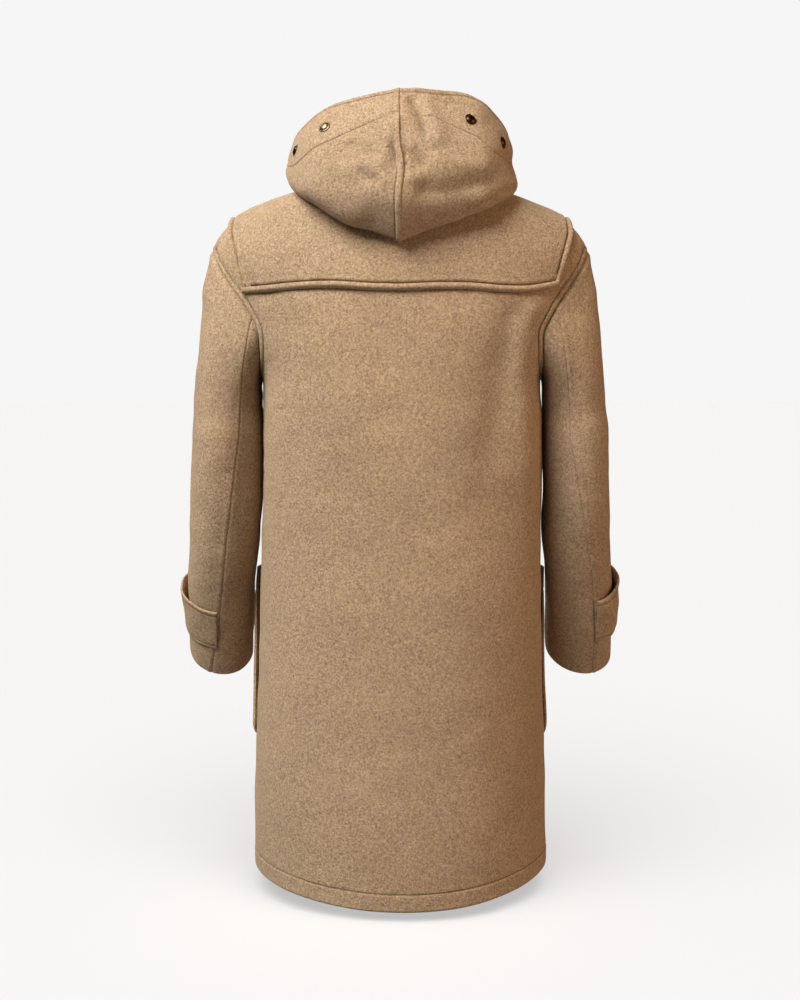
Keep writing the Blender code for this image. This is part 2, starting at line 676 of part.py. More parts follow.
def make_sleeve(side, word):
    gap = 0.5 * SEAM_GAP / SLEEVE_RADIUS
    back = sleeve_seam(word + "_back", SLEEVE_ROWS)
    front = sleeve_seam("front", SLEEVE_ROWS)
    for name, start, end, columns in (
        ("sleeve_top_", front + gap, back - gap, 11),
        ("sleeve_under_", back + gap, front - gap + 2 * math.pi, 10),
    ):
        share = np.linspace(0, 1, columns)
        turn = start[:, None] + (end - start)[:, None] * share
        reach = np.repeat(SLEEVE_ROWS[:, None], columns, axis=1)
        wall(name + word, sleeve(side, turn, reach), sleeve(side, turn, reach, -WALL), "wool")


def strap_edges(side, turn, seam_turn):
    """How far down the sleeve a cuff strap's top and bottom edges lie."""
    top_at_seam, top_outside, bottom = next(row[1:] for row in STRAPS if row[0] == side)
    top = top_at_seam + (top_outside - top_at_seam) * ease((seam_turn - turn) / math.radians(80.0))
    return top, np.full(np.shape(turn), bottom)


def strap_stand(turn, up):
    """How far the strap stands away from the sleeve, from its bottom edge (0) to its top edge (1)."""
    return STRAP_STAND * (0.10 + 0.90 * up ** 1.5) * np.exp(-((turn - 0.1) / 0.8) ** 2)


def make_cuff_strap(side, word):
    """A band from the back seam round the outside of the cuff, ending in a point in front."""
    seam_turn = float(sleeve_seam(word + "_back", np.array(4.3)))
    around = np.linspace(seam_turn - 0.02, math.radians(STRAP_POINT), 13)
    top, bottom = strap_edges(side, around, seam_turn)
    up = np.linspace(0, 1, 4)[:, None]
    pointed = 0.35 + 0.65 * ease((around - around[-1]) / 0.35)
    reach = (bottom + top) / 2 + (bottom - top) * (0.5 - up) * pointed
    turn = np.repeat(around[None, :], len(up), axis=0)
    out = SMALL_LAY_GAP + strap_stand(turn, up)
    outer = sleeve(side, turn, reach, out + WALL)
    inner = sleeve(side, turn, reach, out)
    wall("cuff_strap_" + word, outer, inner, "wool_trim")
    seat_turn = around[-1] + STRAP_BUTTON_BACK
    seat_top, seat_bottom = strap_edges(side, seat_turn, seam_turn)
    seat_reach = (seat_top + seat_bottom) / 2
    seat_out = SMALL_LAY_GAP + WALL + 1.0 * MM + strap_stand(seat_turn, 0.5)
    centre = sleeve(side, seat_turn, seat_reach, seat_out)
    axis = sleeve(side, seat_turn, seat_reach, seat_out + 1 * CM) - centre
    profile = (
        (0.0, 0.0),
        (BUTTON_RADIUS - 1 * MM, 0.0),
        (BUTTON_RADIUS, 0.35 * BUTTON_HEIGHT),
        (BUTTON_RADIUS - 1 * MM, BUTTON_HEIGHT),
        (BUTTON_RADIUS - 3 * MM, 0.75 * BUTTON_HEIGHT),
        (0.0, 0.75 * BUTTON_HEIGHT),
    )
    turned("cuff_button_" + word, profile, centre, axis, 16, "horn")


# ---------------------------------------------------------------- pockets

def make_pocket(side, word):
    columns = 10
    rows = 8
    across = np.linspace(0, 1, columns)
    up = np.linspace(0, 1, rows)
    start, end = (math.radians(value) for value in POCKET_REACH)
    if side < 0:
        start, end = -math.pi - start, -math.pi - end
    angle = np.repeat((start + (end - start) * across)[None, :], rows, axis=0)
    low = rise_at_height(POCKET_BOTTOM)
    high = rise_at_height(POCKET_TOP)
    edge = np.abs(2 * across - 1)
    corner = POCKET_CORNER / POCKET_HALF_WIDTH
    beyond = np.clip((edge - (1 - corner)) / corner, 0, 1)
    lift = POCKET_CORNER * (1 - np.sqrt(1 - beyond ** 2)) * 0.8
    rise = (low + lift) + (high - low - lift) * up[:, None]
    belly = np.sin(math.pi * across) ** 0.4 * ease((up[:, None]) * 3.0)
    out = POCKET_EDGE_GAP + POCKET_BELLY * belly
    outer = body(angle, rise, out + WALL)
    inner = body(angle, rise, out)
    wall("pocket_" + word, outer, inner, "wool")


# ---------------------------------------------------------------- hood

HOOD_KNOTS_AROUND = np.linspace(0, 1, len(HOOD_ROWS))
HOOD_KNOTS_UP = np.array((0.0, 0.10, 0.22, 0.42, 0.52, 0.68, 0.84, 1.0))


def hood_rows():
    """The hood's guide points, shaped (rows round, places up, 3)."""
    around = np.radians([row[0] for row in HOOD_ROWS])
    seam = body_flat(around, np.full(around.shape, NECK))
    inward = unit(seam * np.array((1.0, 1.0, 0.0))) * 2.5 * NECK_SEAM_GAP
    base = seam - inward + np.array((0.0, 0.0, NECK_SEAM_GAP))
    stand = seam - inward + np.array((0.0, 0.0, HOOD_STAND))
    guides = np.array([row[1:] for row in HOOD_ROWS]) * CM
    return np.concatenate([base[:, None], stand[:, None], guides], axis=1)


HOOD_GUIDES = hood_rows()


def fuller_guides():
    """The right half's guide points, still on the left."""
    fold_out, bulge_out, edge_out, edge_up = np.array(HOOD_FULLER)[:, 1:].T * CM
    guides = HOOD_GUIDES.copy()
    guides[:, 3, 0] += fold_out
    guides[:, 4, 0] += bulge_out + 0.3 * fold_out
    guides[:, 5, 0] += bulge_out
    guides[:, 6, 0] += 0.8 * edge_out
    guides[:, 6, 2] += 0.5 * edge_up
    guides[:, 7, 0] += edge_out
    guides[:, 7, 2] += edge_up
    return guides


HOOD_SIDE_GUIDES = {1: HOOD_GUIDES, -1: fuller_guides()}


def hood_surface(side):
    """The outside of one hood half: around 0 is the centre front and 1 the back, up runs to the edge."""
    def point(around, up):
        around, up = np.broadcast_arrays(np.asarray(around, dtype=float), np.asarray(up, dtype=float))
        row_shares = smooth_curve(HOOD_KNOTS_AROUND, np.eye(len(HOOD_KNOTS_AROUND)), around)
        place_shares = smooth_curve(HOOD_KNOTS_UP, np.eye(len(HOOD_KNOTS_UP)), up)
        return np.einsum("...r,...p,rpc->...c", row_shares, place_shares, HOOD_SIDE_GUIDES[side])
    return point


def hood(side, around, up, out=0.0):
    """A point of a hood half moved out along its normal, on the half's own side."""
    around, up = np.broadcast_arrays(np.asarray(around, dtype=float), np.asarray(up, dtype=float))
    surface = hood_surface(side)
    inside_around = np.clip(around, 0.01, 0.99)
    inside_up = np.clip(up, 0.01, 0.99)
    normal = surface_normals(surface, inside_around, inside_up, 0.01, 0.01)
    level = np.where((around > 0.985)[..., None], np.array((0.0, 1.0, 1.0)), 1.0)
    points = surface(around, up) + unit(normal * level) * np.asarray(out, dtype=float)[..., None]
    return to_side(points, side)


def make_hood(side, word):
    around = np.concatenate([np.linspace(0, 0.93, 14), [0.972, 0.976, 1.0]])
    up = np.array((0.0, 0.05, 0.10, 0.15, 0.22, 0.32, 0.42, 0.47, 0.52, 0.60, 0.68, 0.76, 0.84, 0.92, 1.0))
    grid_around = np.repeat(around[None, :], len(up), axis=0)
    grid_up = np.repeat(up[:, None], len(around), axis=1)
    welt = np.where(grid_around > 0.974, WELT_RISE, 0.0)
    outer = hood(side, grid_around, grid_up, welt)
    inner = hood(side, grid_around, grid_up, -WALL)
    for grid in (outer, inner):
        grid[:, -1, 0] = side * SEAM_GAP / 2
    wall("hood_" + word, outer, inner, "wool")


def make_snaps():
    profile = (
        (0.0, 0.0),
        (SNAP_RADIUS, 0.0),
        (SNAP_RADIUS, 0.8 * MM),
        (0.8 * SNAP_RADIUS, 0.7 * SNAP_HEIGHT),
        (0.45 * SNAP_RADIUS, 0.95 * SNAP_HEIGHT),
        (0.0, SNAP_HEIGHT),
    )
    for name, side, around, up in SNAPS:
        foot = hood(side, around, up, SMALL_LAY_GAP + 0.5 * MM)
        axis = hood(side, around, up, SMALL_LAY_GAP + 10 * MM) - foot
        turned(name, profile, foot, axis, 14, "brass")


# ---------------------------------------------------------------- front closure

def front_point(across, height, out):
    """A point over the fronts, this far to the wearer's left of the centre and above the cloth."""
    rise = rise_at_height(height)
    angle = angle_at(across, np.full(np.shape(across), rise), True)
    return body(angle, np.full(np.shape(across), rise), out)


def make_closure():
    strand = SMALL_LAY_GAP + CORD_RADIUS
    for place, height in enumerate(TOGGLE_HEIGHTS, start=1):
        for side, word in ((1, "left"), (-1, "right")):
            across = np.linspace(TAB_OUTER, TAB_INNER, 5) * side
            grow = np.linspace(-1, 1, 5)
            half = TAB_HALF_HEIGHT * np.array((0.55, 0.85, 1.0, 0.9, 0.55))
            rises = rise_at_height(height + grow[:, None] * half)
            angles = angle_at(across + 0.0 * rises, rises, True)
            outer = body(angles, rises, SMALL_LAY_GAP + TAB_THICKNESS)
            inner = body(angles, rises, SMALL_LAY_GAP)
            wall("toggle_tab_%s_%d" % (word, place), outer, inner, "wool_trim")
            straight = np.linspace(TAB_INNER - SMALL_LAY_GAP, CORD_END + CORD_SPREAD, 6)
            bend = np.linspace(0, math.pi, 7)[1:-1]
            curve = CORD_END + CORD_SPREAD * (1 - np.sin(bend))
            x = np.concatenate([straight, curve, straight[::-1]])
            z = np.concatenate([np.full(6, 1.0), np.cos(bend), np.full(6, -1.0)]) * CORD_SPREAD
            rises = rise_at_height(height + z)
            angles = angle_at(x * side, rises, True)
            path = body(angles, rises, strand)
            tube("toggle_cord_%s_%d" % (word, place), path, CORD_RADIUS, 6, "cord")
        lift = 2 * strand + TOGGLE_RADIUS + 0.3 * MM
        centre = front_point(0.0, height, lift)
        share = np.array((0.0, 0.02, 0.14, 0.34, 0.47, 0.53, 0.66, 0.86, 0.98, 1.0))
        width = np.array((0.0, 0.45, 0.78, 1.0, 0.82, 0.82, 1.0, 0.78, 0.45, 0.0))
        profile = list(zip(width * TOGGLE_RADIUS, (share - 0.5) * TOGGLE_LENGTH))
        turned("toggle_%d" % place, profile, centre, (1.0, 0.0, 0.0), 12, "horn")


# ---------------------------------------------------------------- the coat

def main():
    for thing in list(bpy.data.objects):
        bpy.data.objects.remove(thing)
    make_back()
    make_fronts()
    make_yoke()
    for side, word in ((1, "left"), (-1, "right")):
        make_sleeve(side, word)
        make_cuff_strap(side, word)
        make_pocket(side, word)
        make_hood(side, word)
    make_snaps()
    make_closure()


main()
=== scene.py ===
# %% [markdown]
# # A duffle coat in heavy wool melton, seen as it hangs on a wearer
# The coat is cut from one thick woollen cloth: a back, two fronts, a shoulder yoke laid over them, two
# two-piece sleeves, a two-piece hood and small trims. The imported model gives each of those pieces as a
# plain wall. This notebook dresses each one: the same measured surface, set out much finer, with the
# rolled edges, sewn bands, creases and fibres that make wool look like wool.
#
# Everything is in metres, +Z is up, the wearer faces -Y and the wearer's left is +X.

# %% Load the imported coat
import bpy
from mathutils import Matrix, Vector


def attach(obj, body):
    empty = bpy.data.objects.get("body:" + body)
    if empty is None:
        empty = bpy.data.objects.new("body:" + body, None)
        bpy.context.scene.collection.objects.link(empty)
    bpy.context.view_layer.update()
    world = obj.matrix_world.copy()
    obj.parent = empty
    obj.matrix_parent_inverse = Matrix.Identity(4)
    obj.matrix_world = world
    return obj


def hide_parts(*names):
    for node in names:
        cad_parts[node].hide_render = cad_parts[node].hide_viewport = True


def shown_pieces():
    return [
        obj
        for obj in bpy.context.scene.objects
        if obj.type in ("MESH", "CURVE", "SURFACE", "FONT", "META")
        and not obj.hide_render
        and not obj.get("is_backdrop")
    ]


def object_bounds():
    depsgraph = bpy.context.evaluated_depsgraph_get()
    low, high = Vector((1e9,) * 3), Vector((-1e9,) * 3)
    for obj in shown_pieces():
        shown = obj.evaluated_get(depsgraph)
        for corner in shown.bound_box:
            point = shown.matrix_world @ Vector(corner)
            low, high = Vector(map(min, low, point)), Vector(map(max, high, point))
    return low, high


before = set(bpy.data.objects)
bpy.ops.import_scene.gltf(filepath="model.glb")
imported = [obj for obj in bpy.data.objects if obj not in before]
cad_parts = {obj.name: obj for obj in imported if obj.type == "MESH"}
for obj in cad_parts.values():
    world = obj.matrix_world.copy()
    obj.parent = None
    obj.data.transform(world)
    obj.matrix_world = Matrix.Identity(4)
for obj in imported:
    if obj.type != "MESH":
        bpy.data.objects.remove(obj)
cad_low, cad_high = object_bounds()
CAD_BOX = [[float(value) for value in cad_low], [float(value) for value in cad_high]]

import math

import bpy
import numpy as np
from mathutils import Vector

CM = 0.01
MM = 0.001
SIDES = ((1, "left"), (-1, "right"))   # of the wearer, each with the sign of its x
print("packed coat:", len(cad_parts), "pieces, box", np.round(CAD_BOX, 3).tolist())

# %% [markdown]
# ## Camera, floor and studio light
# The coat is looked at from behind, a little above its middle, from far enough away that nothing
# bulges towards the lens. A long lens does that; moving a short lens back and cropping would do the
# same. The floor is plain and pale, just under the hem. A large softbox stands behind and above the
# wearer's left shoulder, a warm card on the right, and a softbox in front, over a faint even fill: cloth
# is lit like this so that its nap shows but its folds stay gentle. The floor has two suns of its own,
# because it has to be as pale as the backdrop without the coat going white.

# %% Camera
VIEW_TARGET = Vector((0.0, 0.0, -0.421))
VIEW_DISTANCE = 2.2
VIEW_ELEVATION = math.radians(6.0)
LENS = 60.92                   # mm
SENSOR_WIDTH = 36.0            # mm


def add_object(name, data):
    """A new object in the scene, for a mesh, a lamp or a camera."""
    made = bpy.data.objects.new(name, data)
    bpy.context.scene.collection.objects.link(made)
    return made


camera_data = bpy.data.cameras.new("studio_camera")
camera_data.lens = LENS
camera_data.sensor_width = SENSOR_WIDTH
camera = add_object("studio_camera", camera_data)
look_from = Vector((0.0, math.cos(VIEW_ELEVATION), math.sin(VIEW_ELEVATION)))
camera.location = VIEW_TARGET + look_from * VIEW_DISTANCE
camera.rotation_euler = (-look_from).to_track_quat("-Z", "Y").to_euler()
bpy.context.scene.camera = camera
print("camera at", [round(value, 3) for value in camera.location])

# %% Colours and shader nodes
def linear(hex_colour):
    """An sRGB colour such as "#c8a981" as linear red, green, blue and alpha."""
    parts = [int(hex_colour[place:place + 2], 16) / 255 for place in (1, 3, 5)]
    light = [part / 12.92 if part <= 0.04045 else ((part + 0.055) / 1.055) ** 2.4 for part in parts]
    return (*light, 1.0)


def node(tree, kind, inputs=None, **settings):
    """Adds one node. An input given as another node's socket is linked, anything else is set."""
    made = tree.nodes.new(kind)
    for name, value in settings.items():
        setattr(made, name, value)
    for key, value in (inputs or {}).items():
        if isinstance(value, bpy.types.NodeSocket):
            tree.links.new(value, made.inputs[key])
        else:
            made.inputs[key].default_value = value
    return made


def blank_material(name, constants):
    """A material, its tree and its one Principled shader, which holds the constants on its own sockets."""
    material = bpy.data.materials.new(name)
    material.use_nodes = True
    tree = material.node_tree
    tree.nodes.clear()
    shader = node(tree, "ShaderNodeBsdfPrincipled", constants)
    node(tree, "ShaderNodeOutputMaterial", {"Surface": shader.outputs["BSDF"]})
    return material, tree, shader


def noise(tree, place, millimetres, detail, **more):
    """A noise over a place, whose pattern repeats about every so many millimetres."""
    inputs = {"Vector": place, "Scale": 1.0 / (millimetres * MM), "Detail": detail, **more}
    return node(tree, "ShaderNodeTexNoise", inputs).outputs["Fac"]


def two_tone(tree, value, low, high, first, second):
    """The first colour where a value is low, the second where it is high, a mix of them between."""
    share = node(tree, "ShaderNodeMapRange", {"Value": value, "From Min": low, "From Max": high})
    mixed = node(tree, "ShaderNodeMix", {"Factor": share.outputs[0], 6: linear(first), 7: linear(second)},
                 data_type="RGBA")
    return mixed.outputs[2]


# %% Floor, lamps and backdrop
FLOOR_GAP = 12 * MM            # between the hem and the floor
FLOOR_RADIUS = 14              # m
PALE = "#f6f6f6"
FLOOR_SEEN = (0.80, 0.80, 0.80, 1.0)     # the paint as the camera sees it
FLOOR_THROWS = (0.20, 0.20, 0.20, 1.0)   # the paint as it lights the coat, greyer to keep the hem dark

paint, paint_tree, paint_shader = blank_material("studio_floor_matt_paint", {
    "Roughness": 1.0, "Specular IOR Level": 0.0})
looked_at = node(paint_tree, "ShaderNodeLightPath")
shade_of_floor = node(paint_tree, "ShaderNodeMix", {"Factor": looked_at.outputs["Is Camera Ray"],
                                                   6: FLOOR_THROWS, 7: FLOOR_SEEN}, data_type="RGBA")
paint_tree.links.new(shade_of_floor.outputs[2], paint_shader.inputs["Base Color"])
floor_mesh = bpy.data.meshes.new("studio_floor")
floor_height = CAD_BOX[0][2] - FLOOR_GAP
floor_rim = [(FLOOR_RADIUS * math.cos(turn), FLOOR_RADIUS * math.sin(turn), floor_height)
             for turn in (math.radians(degrees) for degrees in range(0, 360, 6))]
floor_mesh.from_pydata(floor_rim, [], [tuple(range(len(floor_rim)))])
floor_mesh.materials.append(paint)
floor = add_object("studio_floor", floor_mesh)
floor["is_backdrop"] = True


def add_lamp(name, kind, comes_from, strength, softness, lights):
    """A lamp turned to the coat: a sun, or a round softbox at a distance, each softness degrees wide.

    strength is the light that reaches the coat's middle; lights is the collection of what it lights.
    """
    lamp = bpy.data.lights.new(name, kind)
    holder = add_object(name, lamp)
    place = Vector(comes_from)
    holder.rotation_euler = place.to_track_quat("Z", "Y").to_euler()
    if kind == "SUN":
        lamp.energy = strength
        lamp.angle = math.radians(softness)
    else:
        lamp.shape = "DISK"
        lamp.size = 2 * place.length * math.tan(math.radians(softness / 2))
        lamp.energy = strength * math.pi * place.length ** 2
        holder.location = place + VIEW_TARGET
    holder.light_linking.receiver_collection = lights
    return lamp


coat_lit = bpy.data.collections.new("lit_by_the_coat_lamps")
floor_lit = bpy.data.collections.new("lit_by_the_floor_lamp")
floor_lit.objects.link(floor)
add_lamp("key_softbox", "AREA", (1.87, 1.87, 3.25), 4.85, 38, coat_lit)
add_lamp("warm_bounce_card", "AREA", (-4.6, 2.1, 0.9), 1.15, 36, coat_lit).color = linear("#ffce9f")[:3]
add_lamp("front_softbox", "AREA", (0.6, -5.0, 2.2), 2.2, 40, coat_lit)
add_lamp("floor_softbox", "SUN", (0.1, 0.5, 1.0), 1.66, 60, floor_lit)
add_lamp("floor_bounce", "SUN", (0.0, 0.0, 1.0), 1.93, 10, floor_lit).use_shadow = False

world = bpy.data.worlds.new("studio_room")
world.use_nodes = True
bpy.context.scene.world = world
room = world.node_tree
room.nodes.clear()
seen_room = node(room, "ShaderNodeBackground", {"Color": linear(PALE), "Strength": 1.0})
fill_room = node(room, "ShaderNodeBackground", {"Color": linear("#fff0e0"), "Strength": 0.07})
ray_kind = node(room, "ShaderNodeLightPath")
room_mix = node(room, "ShaderNodeMixShader", {0: ray_kind.outputs["Is Camera Ray"],
                                             1: fill_room.outputs[0], 2: seen_room.outputs[0]})
node(room, "ShaderNodeOutputWorld", {"Surface": room_mix.outputs[0]})
bpy.context.scene.view_settings.view_transform = "Standard"
print("floor at", round(floor_height, 3), "m")

# %% [markdown]
# ## The cloth itself
# Melton is a thick woollen cloth that is fulled until it shrinks and felts, then brushed and cropped,
# so no weave shows: the eye gets a dry, matt nap of short fibres in several shades of camel, mottled
# softly, with a little light caught by the fibre ends at grazing angles. A scanned swatch would tile and
# stretch; layered noise in object space has no seams, so one material serves every panel.

# %% Wool melton
FIBRE_CLUMP = 2.4              # mm, tufts of the brushed nap
FIBRE_CURL = 4.2               # mm, how far a fibre wanders before it turns back
FIBRE_WIDTH = 0.055            # of the noise's range, which draws each fibre about 0.4 mm wide
FIBRE_SHARE = 0.13             # how much single fibres add to the tufts' light and dark
MOTTLE = 14.0                  # mm, clouds of warmer and yellower wool
MOTTLE_SHARE = 0.35            # how much of the colour comes from them
DYE_CLOUD = 110.0              # mm, slow change of shade over a panel
# Painted shade: grooves in the cloth are darkened to this share of the wool's colour, standing in for the
# shade that falls in them.
GROOVE_SHADE_PAINTED = 0.52             # of the open nap's colour, down in a stitched groove


def fibre_lines(tree, place, shift):
    """Thin curling lines, 1 on a fibre and 0 between: the places where a noise crosses its middle."""
    moved = node(tree, "ShaderNodeVectorMath", {0: place, 1: (shift, shift, shift)}, operation="ADD")
    field = noise(tree, moved.outputs[0], FIBRE_CURL, 1.5, Roughness=0.7, Distortion=1.2)
    centred = node(tree, "ShaderNodeMath", {0: field, 1: 0.5}, operation="SUBTRACT")
    away = node(tree, "ShaderNodeMath", {0: centred.outputs[0]}, operation="ABSOLUTE")
    line = node(tree, "ShaderNodeMapRange", {"Value": away.outputs[0], "From Max": FIBRE_WIDTH,
                                            "To Min": 1.0, "To Max": 0.0})
    return line.outputs[0]


def wool_melton(name, shadow_wool, pale_wool, pink_wool, olive_wool):
    """Fulled and brushed wool: dry, matt, heathered camel with a short fuzzy nap."""
    material, tree, shader = blank_material(name, {
        "Roughness": 0.95, "Specular IOR Level": 0.12,
        "Sheen Weight": 0.2, "Sheen Roughness": 0.55, "Sheen Tint": linear("#f3dfc2")})
    place = node(tree, "ShaderNodeTexCoord").outputs["Object"]
    clumps = noise(tree, place, FIBRE_CLUMP, 3.0, Roughness=0.65, Distortion=0.8)
    pale_fibres = fibre_lines(tree, place, 0.0)
    dark_fibres = fibre_lines(tree, place, 0.37)
    contrast = node(tree, "ShaderNodeMath", {0: pale_fibres, 1: dark_fibres}, operation="SUBTRACT")
    nap = node(tree, "ShaderNodeMath", {0: contrast.outputs[0], 1: FIBRE_SHARE, 2: clumps},
               operation="MULTIPLY_ADD")
    tuft = two_tone(tree, nap.outputs[0], 0.34, 0.66, shadow_wool, pale_wool)
    dyes = two_tone(tree, noise(tree, place, MOTTLE, 3.0, Roughness=0.6), 0.36, 0.64, pink_wool, olive_wool)
    mottled = node(tree, "ShaderNodeMix", {"Factor": MOTTLE_SHARE, 6: tuft, 7: dyes}, data_type="RGBA")
    cloud = noise(tree, place, DYE_CLOUD, 2.0)
    shade = node(tree, "ShaderNodeMapRange", {"Value": cloud, "From Min": 0.3, "From Max": 0.7,
                                             "To Min": 0.95, "To Max": 1.05})
    # Painted shade: the colour is darkened in grooves, by how deep each point lies in one.
    hollow = node(tree, "ShaderNodeAttribute", attribute_name="hollow")
    painted_groove_factor = node(tree, "ShaderNodeMapRange", {"Value": hollow.outputs["Fac"], "To Min": 1.0,
                                               "To Max": GROOVE_SHADE_PAINTED})
    darker = node(tree, "ShaderNodeMath", {0: shade.outputs[0], 1: painted_groove_factor.outputs[0]}, operation="MULTIPLY")
    dyed = node(tree, "ShaderNodeVectorMath", {0: mottled.outputs[2], "Scale": darker.outputs[0]},
                operation="SCALE")
    relief = node(tree, "ShaderNodeBump", {"Height": nap.outputs[0], "Strength": 0.9, "Distance": 0.9 * MM})
    tree.links.new(dyed.outputs[0], shader.inputs["Base Color"])
    tree.links.new(relief.outputs["Normal"], shader.inputs["Normal"])
    return material


MELTON = wool_melton("camel_wool_melton", "#806148", "#ddc19d", "#b28e74", "#b0936b")
print("melton nap drawn with fibres", FIBRE_CURL, "mm long")

# %% [markdown]
# ## The coat's measured surfaces
# Three smooth surfaces carry every piece of cloth: the body, a sleeve and a hood half. Each is a short
# table of measured sections with a smooth curve through them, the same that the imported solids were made
# from, so a dressed piece lies exactly on its solid. Sculpting by eye would drift off it.

# %% Smooth curves through a table
def column_values(columns, rows, name):
    """One named column of a table, as an array."""
    place = columns.index(name)
    return np.array([row[place] for row in rows], dtype=float)


def smooth_curve(knots, values, at):
    """A smooth curve through values at knots, read at any places; the knots rise."""
    knots = np.asarray(knots, dtype=float)
    values = np.asarray(values, dtype=float)
    at = np.clip(np.asarray(at, dtype=float), knots[0], knots[-1])
    slopes = np.gradient(values, knots, axis=0)
    low = np.clip(np.searchsorted(knots, at, side="right") - 1, 0, len(knots) - 2)
    step = knots[low + 1] - knots[low]
    part = (at - knots[low]) / step
    if values.ndim > 1:
        part = part[..., None]
        step = step[..., None]
    start = 1 - 3 * part ** 2 + 2 * part ** 3
    return (
        start * values[low]
        + (1 - start) * values[low + 1]
        + (part - 2 * part ** 2 + part ** 3) * step * slopes[low]
        + (part ** 3 - part ** 2) * step * slopes[low + 1]
    )


def ease(part):
    """0 to 1 with soft ends."""
    part = np.clip(part, 0.0, 1.0)
    return part * part * (3 - 2 * part)


def bell(distance, width):
    """1 where the distance is nothing, and near 0 from twice the width on."""
    return np.exp(-(distance / width) ** 2)


def unit(vectors):
    """The vectors at length 1."""
    length = np.linalg.norm(vectors, axis=-1, keepdims=True)
    return vectors / np.maximum(length, 1e-12)


def paired(first, second):
    """Two values or arrays as float arrays of one shape."""
    return np.broadcast_arrays(np.asarray(first, dtype=float), np.asarray(second, dtype=float))


def oval(angle, roundness):
    """The cosine and sine of an angle, and how far out an oval of this roundness reaches there."""
    cosine = np.cos(angle)
    sine = np.sin(angle)
    return cosine, sine, (np.abs(cosine) ** roundness + np.abs(sine) ** roundness) ** (-1 / roundness)


def stacked(x, y, z):
    """Points from their three coordinates, each a value or an array."""
    return np.stack(np.broadcast_arrays(x, y, z), axis=-1)


def to_side(points, side):
    """Mirrors the left side's points to the right where side is -1."""
    return points * np.array((side, 1.0, 1.0))


# %% Thicknesses and gaps
WALL = 3.0 * MM                # heavy melton
SEAM_GAP = 0.3 * MM            # between two pieces at a seam
SLEEVE_START_GAP = 0.8 * MM    # the same at the armhole, where two curved edges meet
LAP_GAP = 1.4 * MM             # between the two fronts where they lap
NECK_SEAM_GAP = 0.4 * MM       # between the body's neck and the hood's stand
LAY_GAP = 2.6 * MM             # between a wide piece and the rounder panel that it lies on
SMALL_LAY_GAP = 0.4 * MM       # the same for a small piece
FRONT_LAP = 7.0 * CM           # the left front covers the right one by this much
LAP_STEP = -6.5 * CM           # where the right front starts to sink under the left one
LAP_STEP_WIDTH = 2.2 * CM
ARMPIT_HEIGHT = -25.5 * CM
SHOULDER_END_HEIGHT = -9.9 * CM

# %% The body's sections
# The body's level sections, from the hem up to the neck. Heights are at the side; the two drops lower
# the section's middle at the back and at the front. All in centimetres, but for the roundness, which
# is 2 on an ellipse and more on a squarer section.
BODY_COLUMNS = (
    "height", "back_drop", "front_drop", "half_width", "right_wider",
    "back_depth", "front_depth", "roundness",
)
BODY_SECTIONS = (
    (-90.0, 1.7, 0.8, 19.20, 0.0, 16.4, 15.6, 2.02),
    (-74.0, 0.9, 0.4, 18.90, 0.0, 15.9, 15.3, 2.12),
    (-55.0, 0.3, 0.2, 18.10, 0.15, 15.2, 14.9, 2.32),
    (-40.0, 0.0, 0.1, 17.55, 0.60, 14.6, 14.7, 2.55),
    (-31.0, 0.0, 0.2, 17.40, 0.75, 14.3, 14.5, 2.75),
    (-25.5, 0.0, 0.6, 17.65, 0.45, 14.1, 14.2, 2.75),
    (-20.0, 0.0, 1.8, 20.80, 0.20, 13.8, 13.6, 2.35),
    (-15.0, 0.0, 3.2, 23.00, 0.0, 13.1, 12.9, 2.20),
    (-9.9, 0.0, 4.9, 23.80, 0.0, 11.9, 12.0, 2.15),
    (-7.7, 0.0, 5.8, 22.60, 0.0, 11.0, 11.4, 2.15),
    (-5.75, 0.0, 6.6, 20.20, 0.0, 10.1, 10.8, 2.15),
    (-4.15, 0.0, 7.2, 16.50, 0.0, 9.2, 10.2, 2.15),
    (-2.65, 0.1, 7.6, 12.30, 0.0, 8.2, 9.4, 2.12),
    (-0.8, 0.3, 7.6, 8.20, 0.0, 7.0, 8.6, 2.10),
)
# Long folds of the drape: degrees round the body, top, bottom, half width and depth in cm. Those that
# reach down to the hem run out over it.
FOLDS = (
    (140.0, -20.0, -44.0, 2.6, 0.35),
    (126.0, -19.0, -52.0, 3.0, -0.35),
    (44.0, -22.0, -40.0, 2.4, 0.18),
    (60.0, -40.0, -88.0, 5.0, -0.20),
    (112.0, -55.0, -90.0, 5.0, 0.22),
    (-48.0, -24.0, -46.0, 2.6, 0.30),
    (228.0, -24.0, -48.0, 2.6, 0.30),
    (-66.0, -62.0, -90.0, 4.0, 0.25),
    (246.0, -60.0, -90.0, 4.0, -0.22),
)
FOLD_ROUND = 15.0              # cm, the body's mean radius, which turns an angle into a width
FOLD_TO_HEM = -88.0            # cm, a fold that ends lower runs out over the hem


def body_knots():
    """How far up the cloth from the hem each section lies, in metres."""
    height = column_values(BODY_COLUMNS, BODY_SECTIONS, "height")
    half_width = column_values(BODY_COLUMNS, BODY_SECTIONS, "half_width")
    step = np.hypot(np.diff(height), np.diff(half_width))
    return np.concatenate([[0.0], np.cumsum(step)]) * CM


BODY_KNOTS = body_knots()
BODY_VALUES = np.array(BODY_SECTIONS) * np.array([CM] * 7 + [1.0])
NECK = BODY_KNOTS[-1]


def rise_at_height(height):
    """How far up the cloth a height lies, measured at the side seam."""
    many = np.linspace(0.0, NECK, 800)
    heights = smooth_curve(BODY_KNOTS, BODY_VALUES, many)[:, 0]
    return np.interp(height, heights, many)


